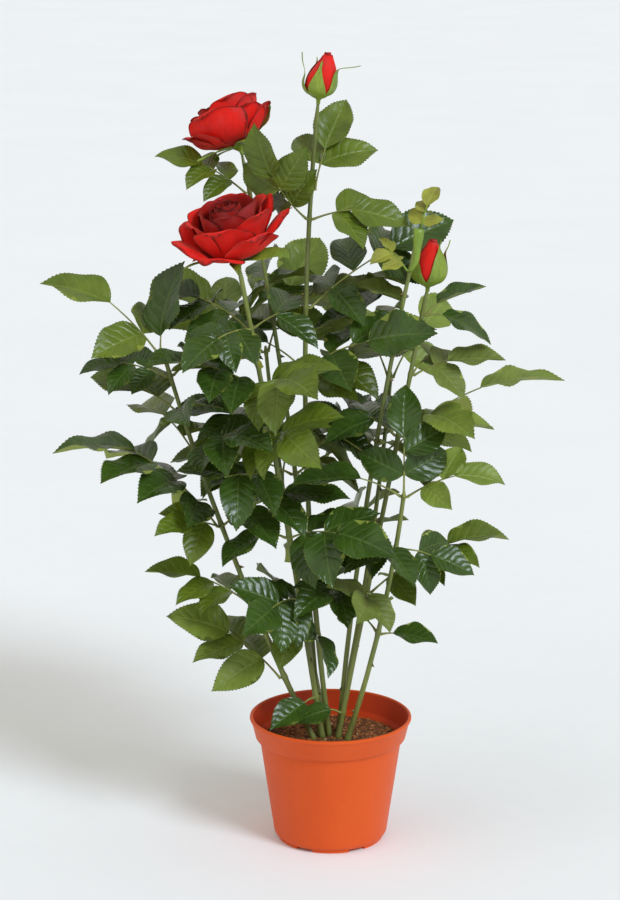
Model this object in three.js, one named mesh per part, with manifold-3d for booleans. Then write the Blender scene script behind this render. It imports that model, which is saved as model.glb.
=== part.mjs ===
// An artificial rose bush in a plastic flower pot: nine canes that stand in a weighted filling, the leaf sprays
// that grow from their joints, two open roses and two buds. Millimetres, +Z up. The origin is the middle of the
// pot's underside. +X is to the right of the bush's front and +Y is behind it.
import * as THREE from "three";
import { mergeVertices } from "three/addons/utils/BufferGeometryUtils.js";
import Module from "manifold-3d";

const wasm = await Module();
wasm.setup();

// ---------------------------------------------------------------- driving dimensions

const pot = {
  height: 121,
  rimRadius: 75, // outside, at the top of the band
  lip: 1.6, // how far the rolled lip stands out of the band
  lipHeight: 4,
  bandFoot: 101, // height where the band ends
  bandRadius: 71.5, // outside, at the band's foot
  ledge: 4.4, // how far the wall steps in under the band
  baseRadius: 54, // outside, where the wall turns under
  wall: 1.5,
  floor: 4.6, // height of the floor's upper side
  footRadius: 50, // outside of the standing ring
  footWidth: 9,
  footHeight: 2.6, // the underside's recess and the slots through the ring
  hubRadius: 15, // the disc in the middle that stands on the ground too
  corner: 5, // height of the wall's turn into the underside
  slots: 6,
  slotWidth: 17,
  sides: 28,
};

const clear = 0.3; // between two pieces that touch
const filling = { top: 97, crown: 1.5, flatRadius: 24 };
const soilTop = filling.top + filling.crown;

const leaf = {
  length: 68, // of the leaflet at a spray's end
  width: 0.65, // of its length
  thick: 1.4, // at the midrib, thinning to the margin
  stations: [0.3, 0.68], // sections along the midrib, between root and tip
  outline: [1, 0.86], // half width there, as a share of the widest
};

const spray = {
  stalk: 27, // bare stem before the first pair of leaflets
  gap: 25, // from one pair to the next
  end: 16, // from the last pair to the end leaflet
  radius: [1.35, 0.85], // of its stem, at root and end
  joint: 2.2, // length of stem that a pair of leaflets grows out of
  sag: 22, // degrees that the stem bends down over its length
  pairAngle: [82, 66, 54], // from the stem, the pair nearest the cane first
  pairSize: [0.7, 0.84, 0.88], // against the end leaflet
  louvre: 17, // degrees that a side leaflet's far edge is turned down, so that the next one lies over it
  turns: [0, 7, -7, 14, -14, 21, -21, 30, -30, 40, -40], // tried until no leaflet touches
};

const collar = { height: 3, wall: 1.1 }; // round the cane where it carries more than one leaf

// Canes: foot on the filling, tip, sideways bow halfway up, radius at foot and tip.
// Sprays: the height of the joint, then its leaves: the way each points in degrees (0 right, 90 back, 180 left,
// 270 front), its rise in degrees, pairs of leaflets, size, and its roll in degrees where it isn't the usual.
// Young ones are small, pale and soft.
const canes = [
  {
    name: "left",
    foot: [-16, -6],
    tip: [-155, 4, 473],
    bow: [-9, 2],
    radius: [2.9, 2.1],
    sprays: [
      { joint: 160, leaves: [[182, 54, 2, 0.98, 42]] },
      { joint: 234, leaves: [[176, 38, 2, 0.74, 24], [60, 20, 2, 0.8]] },
      { joint: 307, leaves: [[184, 58, 3, 1.14, 8], [354, 44, 2, 0.96], [222, 30, 1, 0.74]] },
      { joint: 375, leaves: [[120, 34, 2, 0.96], [322, 40, 2, 0.86]] },
      { joint: 415, leaves: [[242, 30, 1, 0.8], [172, 44, 1, 0.88]] },
      { joint: 449, leaves: [[192, 30, 2, 0.66], [20, 40, 2, 0.86]] },
      { joint: 468, leaves: [[178, 56, 2, 1, 24], [52, 106, 0, 1.1, 4]] },
    ],
  },
  {
    name: "front_bloom",
    foot: [-8, -1],
    tip: [-84, -12, 554],
    bow: [2, 6],
    radius: [2.9, 2.3],
    sprays: [
      { joint: 139, leaves: [[200, 6, 0, 0.72]] },
      { joint: 236, leaves: [[246, 20, 2, 0.84], [120, 25, 2, 0.85]] },
      { joint: 296, leaves: [[310, 26, 2, 0.96], [206, 26, 1, 0.9]] },
      { joint: 355, leaves: [[226, 20, 2, 0.98]] },
      { joint: 395, leaves: [[282, 22, 2, 0.96], [184, 36, 1, 0.9]] },
      { joint: 440, leaves: [[190, 34, 2, 0.92], [330, 26, 2, 0.96]] },
      { joint: 496, leaves: [[150, 36, 2, 0.84], [6, 36, 1, 0.84], [236, 10, 2, 0.7]] },
      { joint: 462, young: true, leaves: [[252, 56, 2, 0.34]] },
    ],
  },
  {
    name: "rear_bloom",
    foot: [-11, 8],
    tip: [-82, 34, 651],
    bow: [10, 10],
    radius: [2.5, 1.9],
    sprays: [
      { joint: 349, leaves: [[160, 24, 2, 0.96], [60, 20, 2, 0.9]] },
      { joint: 424, leaves: [[20, 34, 2, 1]] },
      { joint: 500, leaves: [[110, 30, 2, 0.92], [10, 30, 2, 0.8]] },
      { joint: 615, leaves: [[184, 40, 2, 0.7, 10]] },
    ],
  },
  {
    name: "top_bud",
    foot: [-1, 4],
    tip: [-12, 10, 702],
    bow: [-17, 6],
    radius: [2.8, 2.1],
    sprays: [
      { joint: 197, leaves: [[186, 22, 2, 0.7], [280, 30, 1, 0.8]] },
      { joint: 290, leaves: [[338, 26, 2, 0.96]] },
      { joint: 374, leaves: [[350, 36, 2, 1], [90, 20, 2, 0.9]] },
      { joint: 455, leaves: [[330, 40, 2, 1.04], [190, 50, 1, 0.9]] },
      { joint: 511, leaves: [[14, 46, 3, 1]] },
      { joint: 594, leaves: [[30, 142, 2, 0.78], [346, 26, 1, 0.86]] },
      { joint: 620, leaves: [[44, 80, 1, 0.9], [150, 24, 1, 0.6]] },
    ],
  },
  {
    name: "right_bud",
    foot: [7, -3],
    tip: [88, 4, 531],
    bow: [0, -2],
    radius: [2.7, 2.1],
    sprays: [
      { joint: 124, leaves: [[200, 40, 0, 0.56]] },
      { joint: 243, leaves: [[350, 44, 3, 0.92, 6], [290, 20, 1, 0.76]] },
      { joint: 393, leaves: [[0, 45, 2, 1.26, 6], [140, 44, 1, 0.9]] },
      { joint: 451, leaves: [[352, 36, 1, 0.78], [60, 30, 1, 0.8]] },
      { joint: 507, leaves: [[346, 14, 0, 0.84], [14, 54, 0, 0.8]] },
    ],
  },
  {
    name: "right_front",
    foot: [16, -7],
    tip: [67, -34, 349],
    bow: [6, 0],
    radius: [2.8, 2.1],
    sprays: [
      { joint: 208, leaves: [[344, 18, 0, 0.62], [150, 30, 1, 0.7]] },
      { joint: 293, leaves: [[216, 24, 1, 0.86], [344, 6, 1, 0.7]] },
      { joint: 344, leaves: [[92, 98, 2, 0.84], [350, 36, 2, 0.7], [186, 36, 1, 0.94]] },
    ],
  },
  {
    name: "young_shoot",
    foot: [8, 7],
    tip: [79, -19, 590],
    bow: [-8, 5],
    radius: [2.6, 2],
    sprays: [
      { joint: 239, leaves: [[140, 26, 2, 0.9], [224, 30, 1, 0.8]] },
      { joint: 372, leaves: [[150, 30, 2, 1], [40, 26, 2, 0.8]] },
      { joint: 474, leaves: [[160, 40, 2, 1], [70, 40, 2, 0.8]] },
      { joint: 502, leaves: [[120, 44, 2, 0.9]] },
      { joint: 551, young: true, leaves: [[192, 58, 2, 0.42]] },
      { joint: 585, young: true, leaves: [[40, 84, 2, 0.38]] },
    ],
  },
  {
    name: "rear_left",
    foot: [-3, 14],
    tip: [-62, 92, 459],
    bow: [-6, 12],
    radius: [2.6, 2],
    sprays: [
      { joint: 333, leaves: [[84, 30, 2, 1], [200, 30, 2, 0.9]] },
      { joint: 453, leaves: [[170, 50, 2, 1], [60, 60, 2, 1]] },
    ],
  },
  {
    name: "rear_right",
    foot: [7, 16],
    tip: [58, 96, 433],
    bow: [6, 12],
    radius: [2.6, 2],
    sprays: [
      { joint: 270, leaves: [[60, 22, 2, 0.95]] },
      { joint: 350, leaves: [[20, 30, 2, 0.9], [150, 30, 2, 0.9]] },
      { joint: 427, leaves: [[46, 56, 2, 0.9], [130, 60, 2, 1]] },
    ],
  },
];

// ---------------------------------------------------------------- small helpers

const up = new THREE.Vector3(0, 0, 1);
const radians = THREE.MathUtils.degToRad;

// Repeatable numbers from 0 to 1, a new row of them for each seed.
function seeded(seed) {
  let state = (seed * 2654435761) % 4294967296;
  return () => {
    state = (state * 1664525 + 1013904223) % 4294967296;
    return state / 4294967296;
  };
}

function between(draw, low, high) {
  return low + (high - low) * draw();
}

function solidOf(geometry) {
  const bare = geometry.clone();
  bare.deleteAttribute("normal");
  bare.deleteAttribute("uv");
  const merged = mergeVertices(bare, 1e-4);
  const mesh = new wasm.Mesh({
    numProp: 3,
    vertProperties: new Float32Array(merged.getAttribute("position").array),
    triVerts: new Uint32Array(merged.index.array),
  });
  return new wasm.Manifold(mesh);
}

function geometryOf(solid) {
  const mesh = solid.getMesh();
  const geometry = new THREE.BufferGeometry();
  geometry.setAttribute(
    "position",
    new THREE.BufferAttribute(Float32Array.from(mesh.vertProperties), 3),
  );
  geometry.setIndex([...mesh.triVerts]);
  geometry.computeVertexNormals();
  return geometry;
}

// A closed skin of rings from one end to the other. place(ring, across, over) gives the point of a ring for a
// direction round it; across and over are 0 in the middle of the end caps.
function skin(sides, rings, place) {
  const shape = new THREE.CylinderGeometry(1, 1, 1, sides, rings);
  const points = shape.getAttribute("position");
  for (let i = 0; i < points.count; i++) {
    const ring = Math.round((points.getY(i) + 0.5) * rings);
    points.setXYZ(i, ...place(ring, points.getX(i), points.getZ(i)).toArray());
  }
  return shape;
}

// ---------------------------------------------------------------- pot and filling

function turned(profile, sides) {
  const shape = new THREE.LatheGeometry(
    profile.map(([r, z]) => new THREE.Vector2(r, z)),
    sides,
  );
  return shape.rotateX(Math.PI / 2);
}

const bandTop = pot.height - pot.lipHeight;
const ledgeFoot = pot.bandFoot - 3;
const wallTop = pot.bandRadius - pot.ledge;

function potShape() {
  const ringInside = pot.footRadius - pot.footWidth;
  const outside = [
    [0, 0],
    [pot.hubRadius, 0],
    [pot.hubRadius, pot.footHeight],
    [ringInside, pot.footHeight],
    [ringInside, 0],
    [pot.footRadius, 0],
    [pot.footRadius + 0.6, pot.footHeight],
    [pot.baseRadius, pot.footHeight + pot.corner],
    [wallTop, ledgeFoot],
    [pot.bandRadius, pot.bandFoot],
    [pot.rimRadius, bandTop],
    [pot.rimRadius + pot.lip, bandTop + 0.8],
    [pot.rimRadius + pot.lip, pot.height - 0.9],
    [pot.rimRadius + pot.lip - 0.9, pot.height],
  ];
  const inside = [
    [pot.rimRadius - pot.wall + 0.4, pot.height],
    [pot.rimRadius - pot.wall - 0.4, pot.height - 1],
    [pot.bandRadius - pot.wall, pot.bandFoot + 1],
    [wallTop - pot.wall, ledgeFoot + 1],
    [pot.baseRadius - pot.wall, pot.floor + pot.corner],
    [pot.footRadius - pot.wall, pot.floor],
    [0, pot.floor],
  ];
  let body = solidOf(turned([...outside, ...inside], pot.sides));
  for (let i = 0; i < pot.slots; i++) {
    const slot = new THREE.BoxGeometry(pot.footWidth * 3, pot.slotWidth, pot.footHeight * 2);
    slot.translate(pot.footRadius, 0, -0.001);
    slot.rotateZ((2 * Math.PI * i) / pot.slots);
    body = body.subtract(solidOf(slot));
  }
  return body;
}

// The filling fits the pot's inside and is a little higher in the middle, where the canes stand.
function fillingShape() {
  const foot = { radius: pot.baseRadius - pot.wall, height: pot.floor + pot.corner };
  const head = { radius: wallTop - pot.wall, height: ledgeFoot + 1 };
  const shoulder = filling.top - 1.5;
  const share = (shoulder - foot.height) / (head.height - foot.height);
  const topRadius = THREE.MathUtils.lerp(foot.radius, head.radius, share) - clear;
  const profile = [
    [0, pot.floor + clear],
    [pot.footRadius - pot.wall - clear, pot.floor + clear],
    [foot.radius - clear, foot.height],
    [topRadius, shoulder],
    [topRadius - 5, filling.top],
    [filling.flatRadius, soilTop],
    [0, soilTop],
  ];
  return solidOf(turned(profile, pot.sides));
}

// ---------------------------------------------------------------- canes

// A cane's middle line rises evenly, so a height gives its place along the line.
function lineOf(cane) {
  const foot = new THREE.Vector3(...cane.foot, soilTop + clear);
  const tip = new THREE.Vector3(...cane.tip);
  const bow = new THREE.Vector3(2 * cane.bow[0], 2 * cane.bow[1], 0);
  const middle = foot.clone().add(tip).multiplyScalar(0.5).add(bow);
  return new THREE.QuadraticBezierCurve3(foot, middle, tip);
}

const flare = { share: 0.03, wider: 1.3 }; // at a cane's foot
const caneShares = [0, flare.share, 0.2, 0.4, 0.6, 0.8, 1]; // where its sections lie

// One tapering limb of straight stretches, with a flare at its foot, cut flat on the filling.
function caneShape(cane) {
  const line = lineOf(cane);
  return skin(5, caneShares.length - 1, (ring, across, over) => {
    const share = caneShares[ring];
    const along = ring ? line.getTangent(share) : up.clone();
    const side = new THREE.Vector3(0, 1, 0).cross(along).normalize();
    const front = side.clone().cross(along);
    const radius = THREE.MathUtils.lerp(...cane.radius, share) * (ring ? 1 : flare.wider);
    return line
      .getPoint(share)
      .addScaledVector(side, across * radius)
      .addScaledVector(front, over * radius);
  });
}

// The middle of the cane at a height, with its direction and radius there.
function placeOnCane(cane, height) {
  const low = soilTop + clear;
  const share = (height - low) / (cane.tip[2] - low);
  const line = lineOf(cane);
  const next = caneShares.findIndex((one) => one >= share);
  const [before, after] = [caneShares[next - 1], caneShares[next]];
  const [start, end] = [line.getPoint(before), line.getPoint(after)];
  return {
    point: start.clone().lerp(end, (share - before) / (after - before)),
    along: end.clone().sub(start).normalize(),
    radius: THREE.MathUtils.lerp(...cane.radius, share),
  };
}

// ---------------------------------------------------------------- leaf sprays

// Four points round a middle: right, top, left and bottom.
function section(middle, right, top, wide, lift, thick) {
  const sides = [
    [wide, lift],
    [0, thick],
    [-wide, lift],
    [0, -thick],
  ];
  return sides.map(([x, z]) => middle.clone().addScaledVector(right, x).addScaledVector(top, z));
}

// A leaflet's section at a share of its length: a folded blade that droops along its midrib.
function bladeSection({ root, along, over, length, width, curl, fold }, share, outline, grow = 0) {
  const turn = curl * share;
  const half = (outline * width * length) / 2 + grow;
  const top = over.clone().multiplyScalar(Math.cos(turn)).addScaledVector(along, Math.sin(turn));
  const middle = root
    .clone()
    .addScaledVector(along, (Math.sin(turn) / curl) * length)
    .addScaledVector(over, ((Math.cos(turn) - 1) / curl) * length);
  const right = along.clone().cross(over);
  return section(middle, right, top, half * Math.cos(fold), half * Math.sin(fold), leaf.thick / 2 + grow);
}

function bladeTip(leaflet, grow) {
  const [, top, , bottom] = bladeSection(leaflet, 1 + (2 * grow) / leaflet.length, 0);
  return top.add(bottom).multiplyScalar(0.5);
}

// Gathers corners and faces into one closed shape.
function newShell() {
  const corners = [];
  const faces = [];
  return {
    add: (points) => points.map((point) => corners.push(point) - 1),
    face: (a, b, c, d) => faces.push(...(d === undefined ? [a, b, c] : [a, b, c, a, c, d])),
    // the four walls between one section and the next, or those of them that are listed
    walls(from, to, sides = [0, 1, 2, 3]) {
      for (const i of sides) this.face(from[i], to[i], to[(i + 1) % 4], from[(i + 1) % 4]);
    },
    point(from, tip) {
      for (const i of [0, 1, 2, 3]) this.face(from[i], tip, from[(i + 1) % 4]);
    },
    solid() {
      const vertProperties = new Float32Array(corners.flatMap((corner) => corner.toArray()));
      return new wasm.Manifold(
        new wasm.Mesh({ numProp: 3, vertProperties, triVerts: new Uint32Array(faces) }),
      );
    },
  };
}

// The blade from its first section to its tip.
function addBlade(shell, leaflet, grow = 0) {
  const sections = leaf.stations.map((share, i) =>
    shell.add(bladeSection(leaflet, share, leaf.outline[i], grow)),
  );
  for (let i = 1; i < sections.length; i++) shell.walls(sections[i - 1], sections[i]);
  shell.point(sections.at(-1), shell.add([bladeTip(leaflet, grow)])[0]);
  return sections[0];
}

// A leaflet by itself, grown a little, to see whether there is room for it.
function leafletSolid(leaflet, grow, from = 0) {
  const shell = newShell();
  const start = shell.add(bladeSection(leaflet, from, 0.08, grow));
  shell.face(...start);
  shell.walls(start, addBlade(shell, leaflet, grow));
  return shell.solid();
}

// One compound leaf: a stem that bends down as it goes out, pairs of leaflets and one at the end. It is worked
// out from the direction of its row and its own row of numbers.
function compoundLeaf(place, [way, rise, pairs, size, roll = 26], turn, seed) {
  const draw = seeded(seed);
  const heading = radians(way + turn);
  const flat = new THREE.Vector3(Math.cos(heading), Math.sin(heading), 0);
  const outward = flat.clone().multiplyScalar(rise > 90 ? -1 : 1);
  outward.addScaledVector(place.along, -outward.dot(place.along)).normalize();
  const side = new THREE.Vector3(Math.sin(heading), -Math.cos(heading), 0);
  const length = size * (spray.stalk + spray.gap * (pairs - 1) + spray.end);
  const start = radians(rise + between(draw, -3, 3));
  const sag = radians(spray.sag * between(draw, 0.7, 1.2));
  const tilt = radians(roll * Math.sign(Math.cos(heading)) + between(draw, -20, 20));
  const steepness = flat.clone().multiplyScalar(Math.cos(start)).addScaledVector(up, Math.sin(start));
  const offset = clear + 0.1 + spray.radius[0] * Math.abs(steepness.dot(place.along));
  const root = place.point.clone().addScaledVector(outward, place.radius + offset);
  const frameAt = (distance) => {
    const angle = start - (sag * distance) / length;
    const along = flat.clone().multiplyScalar(Math.cos(angle)).addScaledVector(up, Math.sin(angle));
    const over = flat.clone().multiplyScalar(-Math.sin(angle)).addScaledVector(up, Math.cos(angle));
    const point = root
      .clone()
      .addScaledVector(flat, (length * (Math.sin(start) - Math.sin(angle))) / sag)
      .addScaledVector(up, (length * (Math.cos(angle) - Math.cos(start))) / sag);
    const turned = tilt * Math.min(1, (2 * distance) / length);
    return {
      point,
      along,
      side: side.clone().applyAxisAngle(along, turned),
      over: over.applyAxisAngle(along, turned),
      radius: THREE.MathUtils.lerp(...spray.radius, distance / length),
    };
  };

  const leafletAt = (distance, angle, share) => {
    const { point, along, side: across, over } = frameAt(distance);
    const turned = radians(angle + between(draw, -6, 6));
    const drop = radians(angle ? between(draw, 2, 26) : between(draw, -2, 18));
    const out = along.clone().multiplyScalar(Math.cos(turned)).addScaledVector(across, Math.sin(turned));
    const direction = out.clone().multiplyScalar(Math.cos(drop)).addScaledVector(over, -Math.sin(drop));
    const normal = over.clone().multiplyScalar(Math.cos(drop)).addScaledVector(out, Math.sin(drop));
    const louvre = -spray.louvre * Math.sign(angle) + between(draw, -12, 12);
    return {
      distance,
      hand: Math.sign(angle),
      root: point,
      along: direction,
      over: normal.applyAxisAngle(direction, radians(louvre)),
      length: leaf.length * size * share * between(draw, 0.92, 1.08),
      width: leaf.width * between(draw, 0.92, 1.06),
      curl: radians(between(draw, 12, 42)),
      fold: radians(between(draw, 8, 24)),
    };
  };
  const leaflets = [leafletAt(length, 0, 1)];
  for (let pair = pairs - 1; pair >= 0; pair--)
    for (const hand of [1, -1]) {
      const kind = 3 - pairs + pair;
      const distance = size * (spray.stalk + spray.gap * pair);
      leaflets.push(leafletAt(distance, hand * spray.pairAngle[kind], spray.pairSize[kind]));
    }
  return { leaflets, frameAt, length };
}

// The stem's section at a distance along it.
function stemSection({ frameAt }, distance) {
  const { point, side, over, radius } = frameAt(distance);
  return section(point, side, over, radius, 0, radius);
}

// The stem and its leaflets as one closed shape. Each side leaflet opens out of two of the stem's walls, and
// the end leaflet is the stem's last section spread out.
function leafSolid(found, leaflets = found.leaflets) {
  const shell = newShell();
  let last = shell.add(stemSection(found, 0));
  shell.face(...last);
  const joints = [...new Set(found.leaflets.map(({ distance }) => distance))].sort((a, b) => a - b);
  for (const distance of joints.slice(0, -1)) {
    const near = shell.add(stemSection(found, distance - spray.joint / 2));
    const far = shell.add(stemSection(found, distance + spray.joint / 2));
    shell.walls(last, near);
    last = far;
    const here = leaflets.filter((one) => one.distance === distance);
    const open = [];
    for (const one of here) {
      const right = one.hand > 0;
      const [first, second, column] = right ? [near, far, 0] : [far, near, 2];
      const [r, t, l, b] = addBlade(shell, one);
      shell.face(first[column], r, t, first[1]);
      shell.face(first[1], t, second[1]);
      shell.face(second[1], t, l, second[column]);
      shell.face(second[column], l, b, second[3]);
      shell.face(second[3], b, first[3]);
      shell.face(first[3], b, r, first[column]);
      open.push(...(right ? [0, 3] : [1, 2]));
    }
    const closed = [0, 1, 2, 3].filter((i) => !open.includes(i));
    shell.walls(near, far, closed);
  }
  const end = shell.add(stemSection(found, found.length));
  shell.walls(last, end);
  const terminal = leaflets.find(({ hand }) => hand === 0);
  if (terminal) shell.walls(end, addBlade(shell, terminal));
  else shell.face(...[...end].reverse());
  return shell.solid();
}

// ---------------------------------------------------------------- roses and buds

// A flower's own frame: its axis leans from upright by lean degrees towards the way given.
function flowerFrame(way, lean) {
  const hinge = new THREE.Vector3(-Math.sin(radians(way)), Math.cos(radians(way)), 0);
  return new THREE.Quaternion().setFromAxisAngle(hinge, radians(lean));
}

// A petal lies on a bell: its middle line runs from the cup out and up, and its width follows the circle.
function petalShape({ way, reach, top, belly, half, pointed, thick }) {
  const line = new THREE.QuadraticBezierCurve(
    new THREE.Vector2(5, 9),
    new THREE.Vector2(belly[0], belly[1]),
    new THREE.Vector2(reach, top),
  );
  const shares = [0, 0.4, 0.75, 1];
  const widths = [0.22, 0.8, 1, 0.5];
  return skin(6, 3, (ring, across, over) => {
    const place = line.getPoint(shares[ring]);
    const slope = line.getTangent(shares[ring]);
    const wide = half * widths[ring];
    const turn = radians(way) + (across * wide) / Math.max(place.x, 13);
    const sink = ring === 3 ? pointed * across * across : 0;
    const r = place.x + across * rose.spiral + (slope.y * over * thick) / 2;
    const z = place.y - (slope.x * over * thick) / 2 - sink;
    return new THREE.Vector3(r * Math.cos(turn), r * Math.sin(turn), z);
  });
}

const rose = {
  cup: { radius: 8.5, height: 13 },
  heart: { radius: 18, foot: 9, top: 60 },
  petalThick: 1.5,
  spiral: 2.2, // how far one edge of a petal lies outside the next petal's edge
  // count, first way, reach, height at the lip, belly of the bell, half width, rounding of the lip
  whorls: [
    { count: 4, first: 60, reach: 36, top: 55, belly: [34, 18], half: 27, pointed: 7 },
    { count: 5, first: 10, reach: 52, top: 34, belly: [36, 12], half: 27, pointed: 5 },
  ],
  sepals: 5,
};

function cupProfile(radius, height, neck) {
  return [
    [0, 0],
    [neck, 0],
    [neck, 1.5],
    [radius, height * 0.55],
    [radius * 0.9, height],
    [0, height],
  ];
}

function sepalShape(way, { length, half, spread, start, lift, curl }) {
  const heading = radians(way);
  const out = new THREE.Vector3(Math.cos(heading), Math.sin(heading), 0);
  const sepal = {
    root: out.clone().multiplyScalar(start).addScaledVector(up, lift),
    along: out.clone().multiplyScalar(Math.cos(spread)).addScaledVector(up, Math.sin(spread)).normalize(),
    over: out.clone().multiplyScalar(-Math.sin(spread)).addScaledVector(up, Math.cos(spread)).normalize(),
    length,
    width: (2 * half) / length,
    curl,
    fold: 0.25,
  };
  return geometryOf(leafletSolid(sepal, 0));
}

// Joins shapes after each is put in its place.
function joined(shapes, place) {
  return shapes.map((shape) => solidOf(shape.applyMatrix4(place))).reduce((all, one) => all.add(one));
}

function roseShapes() {
  const { cup, heart, whorls } = rose;
  const heartHeight = heart.top - heart.foot;
  const core = new THREE.SphereGeometry(1, 8, 5).rotateX(Math.PI / 2);
  core.scale(heart.radius, heart.radius, heartHeight / 2);
  core.translate(0, 0, heart.foot + heartHeight / 2);
  const shapes = [turned(cupProfile(cup.radius, cup.height, 2.6), 8), core];
  for (const whorl of whorls)
    for (let i = 0; i < whorl.count; i++) {
      const way = whorl.first + (360 / whorl.count) * i;
      shapes.push(petalShape({ ...whorl, way, thick: rose.petalThick }));
    }
  for (let i = 0; i < rose.sepals; i++) {
    const sepal = { length: 34, half: 6, spread: radians(8), start: 3, lift: 6, curl: 0.5 };
    shapes.push(sepalShape(36 + (360 / rose.sepals) * i, sepal));
  }
  return shapes;
}

// Its sepals hug it: they leave its foot at the spread, in degrees from level, and bend back to its tip.
const bud = { radius: 13, foot: 6, height: 45, sepals: 5, sepalLength: 40, sepalCurl: -1.2 };

function budShapes({ plump, open }) {
  const radius = bud.radius * plump;
  const profile = [
    [0, 0],
    [2.5, 0],
    [2.7, 2],
    [radius * 0.72, bud.foot],
    [radius, bud.height * 0.34],
    [radius * 0.82, bud.height * 0.6],
    [radius * 0.36, bud.height * 0.88],
    [0, bud.height],
  ];
  const shapes = [turned(profile, 8)];
  for (let i = 0; i < bud.sepals; i++) {
    const sepal = {
      length: bud.sepalLength,
      half: radius * 0.55,
      spread: radians(open[i]),
      start: radius * 0.5,
      lift: 5,
      curl: bud.sepalCurl,
    };
    shapes.push(sepalShape(90 + 72 * i, sepal));
  }
  return shapes;
}

const flowers = [
  { name: "rose_front", cane: "front_bloom", way: 215, lean: 14, size: 1, shapes: roseShapes },
  { name: "rose_rear", cane: "rear_bloom", way: 146, lean: 28, size: 0.88, shapes: roseShapes },
  {
    name: "bud_top",
    cane: "top_bud",
    way: 10,
    lean: 4,
    size: 0.95,
    shapes: () => budShapes({ plump: 1.25, open: [50, 46, 50, 52, 36] }),
  },
  {
    name: "bud_right",
    cane: "right_bud",
    way: 350,
    lean: 3,
    size: 1,
    shapes: () => budShapes({ plump: 1.27, open: [50, 50, 52, 50, 50] }),
  },
];

// ---------------------------------------------------------------- assembly

const colours = {
  pot: { color: 0xd0552c, roughness: 0.5 },
  filling: { color: 0x6b4127, roughness: 0.95 },
  cane: { color: 0x6f8440, roughness: 0.6 },
  foliage: { color: 0x2f5a26, roughness: 0.5 },
  young: { color: 0x9aa83c, roughness: 0.5 },
  petals: { color: 0xb81416, roughness: 0.75 },
};

function piece(name, solid, finish, place) {
  const geometry = geometryOf(solid);
  geometry.translate(-place.x, -place.y, -place.z);
  const material = new THREE.MeshStandardMaterial({ ...colours[finish], metalness: 0 });
  const mesh = new THREE.Mesh(geometry, material);
  mesh.name = name;
  mesh.position.copy(place);
  return mesh;
}

const bush = new THREE.Group();
const ground = new THREE.Vector3();

// What is already there. A new leaflet keeps clear of it.
const taken = [];

function take(solid, owner) {
  taken.push({ solid, owner, box: solid.boundingBox() });
  return solid;
}

function boxesMeet(a, b) {
  return [0, 1, 2].every((i) => a.min[i] <= b.max[i] && b.min[i] <= a.max[i]);
}

function isFree(solid, owners) {
  const box = solid.boundingBox();
  const near = taken.filter(({ owner, box: other }) => !owners.includes(owner) && boxesMeet(box, other));
  return near.every((other) => other.solid.intersect(solid).isEmpty());
}

bush.add(piece("pot", take(potShape(), "pot"), "pot", ground));
bush.add(piece("filling", take(fillingShape(), "filling"), "filling", ground));
for (const cane of canes) {
  const solid = take(solidOf(caneShape(cane)), cane.name);
  const foot = new THREE.Vector3(...cane.foot, soilTop + clear);
  bush.add(piece("cane_" + cane.name, solid, "cane", foot));
}

for (const { name, cane: bearer, way, lean, size, shapes } of flowers) {
  const cane = canes.find((one) => one.name === bearer);
  const along = lineOf(cane).getTangent(1);
  const seat = new THREE.Vector3(...cane.tip);
  seat.addScaledVector(along, clear + 2.6 * Math.sin(radians(lean)));
  const turn = flowerFrame(way, lean);
  const place = new THREE.Matrix4().compose(seat, turn, new THREE.Vector3(size, size, size));
  const solid = take(joined(shapes(), place), name);
  bush.add(piece(name, solid, "petals", seat));
}

const room = 0.7; // kept free on each side of a leaflet

// The leaflets that touch nothing else and don't cross one another.
function leafletsWithRoom(found, owners) {
  const kept = [];
  for (const one of found.leaflets) {
    const solid = leafletSolid(one, 0.15, 0.05);
    if (kept.some((other) => !other.solid.intersect(solid).isEmpty())) continue;
    if (!isFree(leafletSolid(one, room), owners)) continue;
    if (isFree(leafSolid(found, [one]), owners)) kept.push({ one, solid });
  }
  return kept.map(({ one }) => one);
}

// One compound leaf at the first turn where nothing touches, or at the turn that loses the fewest leaflets.
function growLeaf(place, row, seed, owners) {
  let best = null;
  for (const turn of spray.turns) {
    const found = compoundLeaf(place, row, turn, seed);
    if (!isFree(leafSolid(found, []), owners)) continue;
    const leaflets = leafletsWithRoom(found, owners);
    if (!best || leaflets.length > best.leaflets.length) best = { found, leaflets };
    if (leaflets.length === found.leaflets.length) break;
  }
  return best;
}

function collarShape({ point, along, radius }) {
  const inner = radius + clear + 0.1;
  const side = new THREE.Vector3(0, 1, 0).cross(along).normalize();
  const front = side.clone().cross(along);
  const tube = (r, half) =>
    skin(5, 1, (ring, across, over) =>
      point
        .clone()
        .addScaledVector(along, ring ? half : -half)
        .addScaledVector(side, across * r)
        .addScaledVector(front, over * r),
    );
  const outside = solidOf(tube(inner + collar.wall, collar.height / 2));
  return outside.subtract(solidOf(tube(inner, collar.height)));
}

const joints = canes.flatMap((cane) =>
  cane.sprays.map((row, number) => {
    const name = `${row.young ? "sprout" : "leaves"}_${cane.name}_${number + 1}`;
    const place = placeOnCane(cane, row.joint);
    const solids = row.leaves.length > 1 ? [take(collarShape(place), name)] : [];
    return { ...row, name, place, solids };
  }),
);

let seed = 0;
for (const { name, place, leaves, young, solids } of joints) {
  leaves.forEach((row, leafNumber) => {
    seed += 1;
    const owners = [name, name + leafNumber];
    const grown = growLeaf(place, row, seed, owners);
    if (!grown) return;
    take(leafSolid(grown.found, []), name);
    for (const one of grown.leaflets) take(leafletSolid(one, clear), owners[1]);
    solids.push(leafSolid(grown.found, grown.leaflets));
  });
  if (!solids.length) continue;
  const solid = solids.reduce((all, one) => all.add(one));
  bush.add(piece(name, solid, young ? "young" : "foliage", place.point));
}

export default bush;
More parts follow.
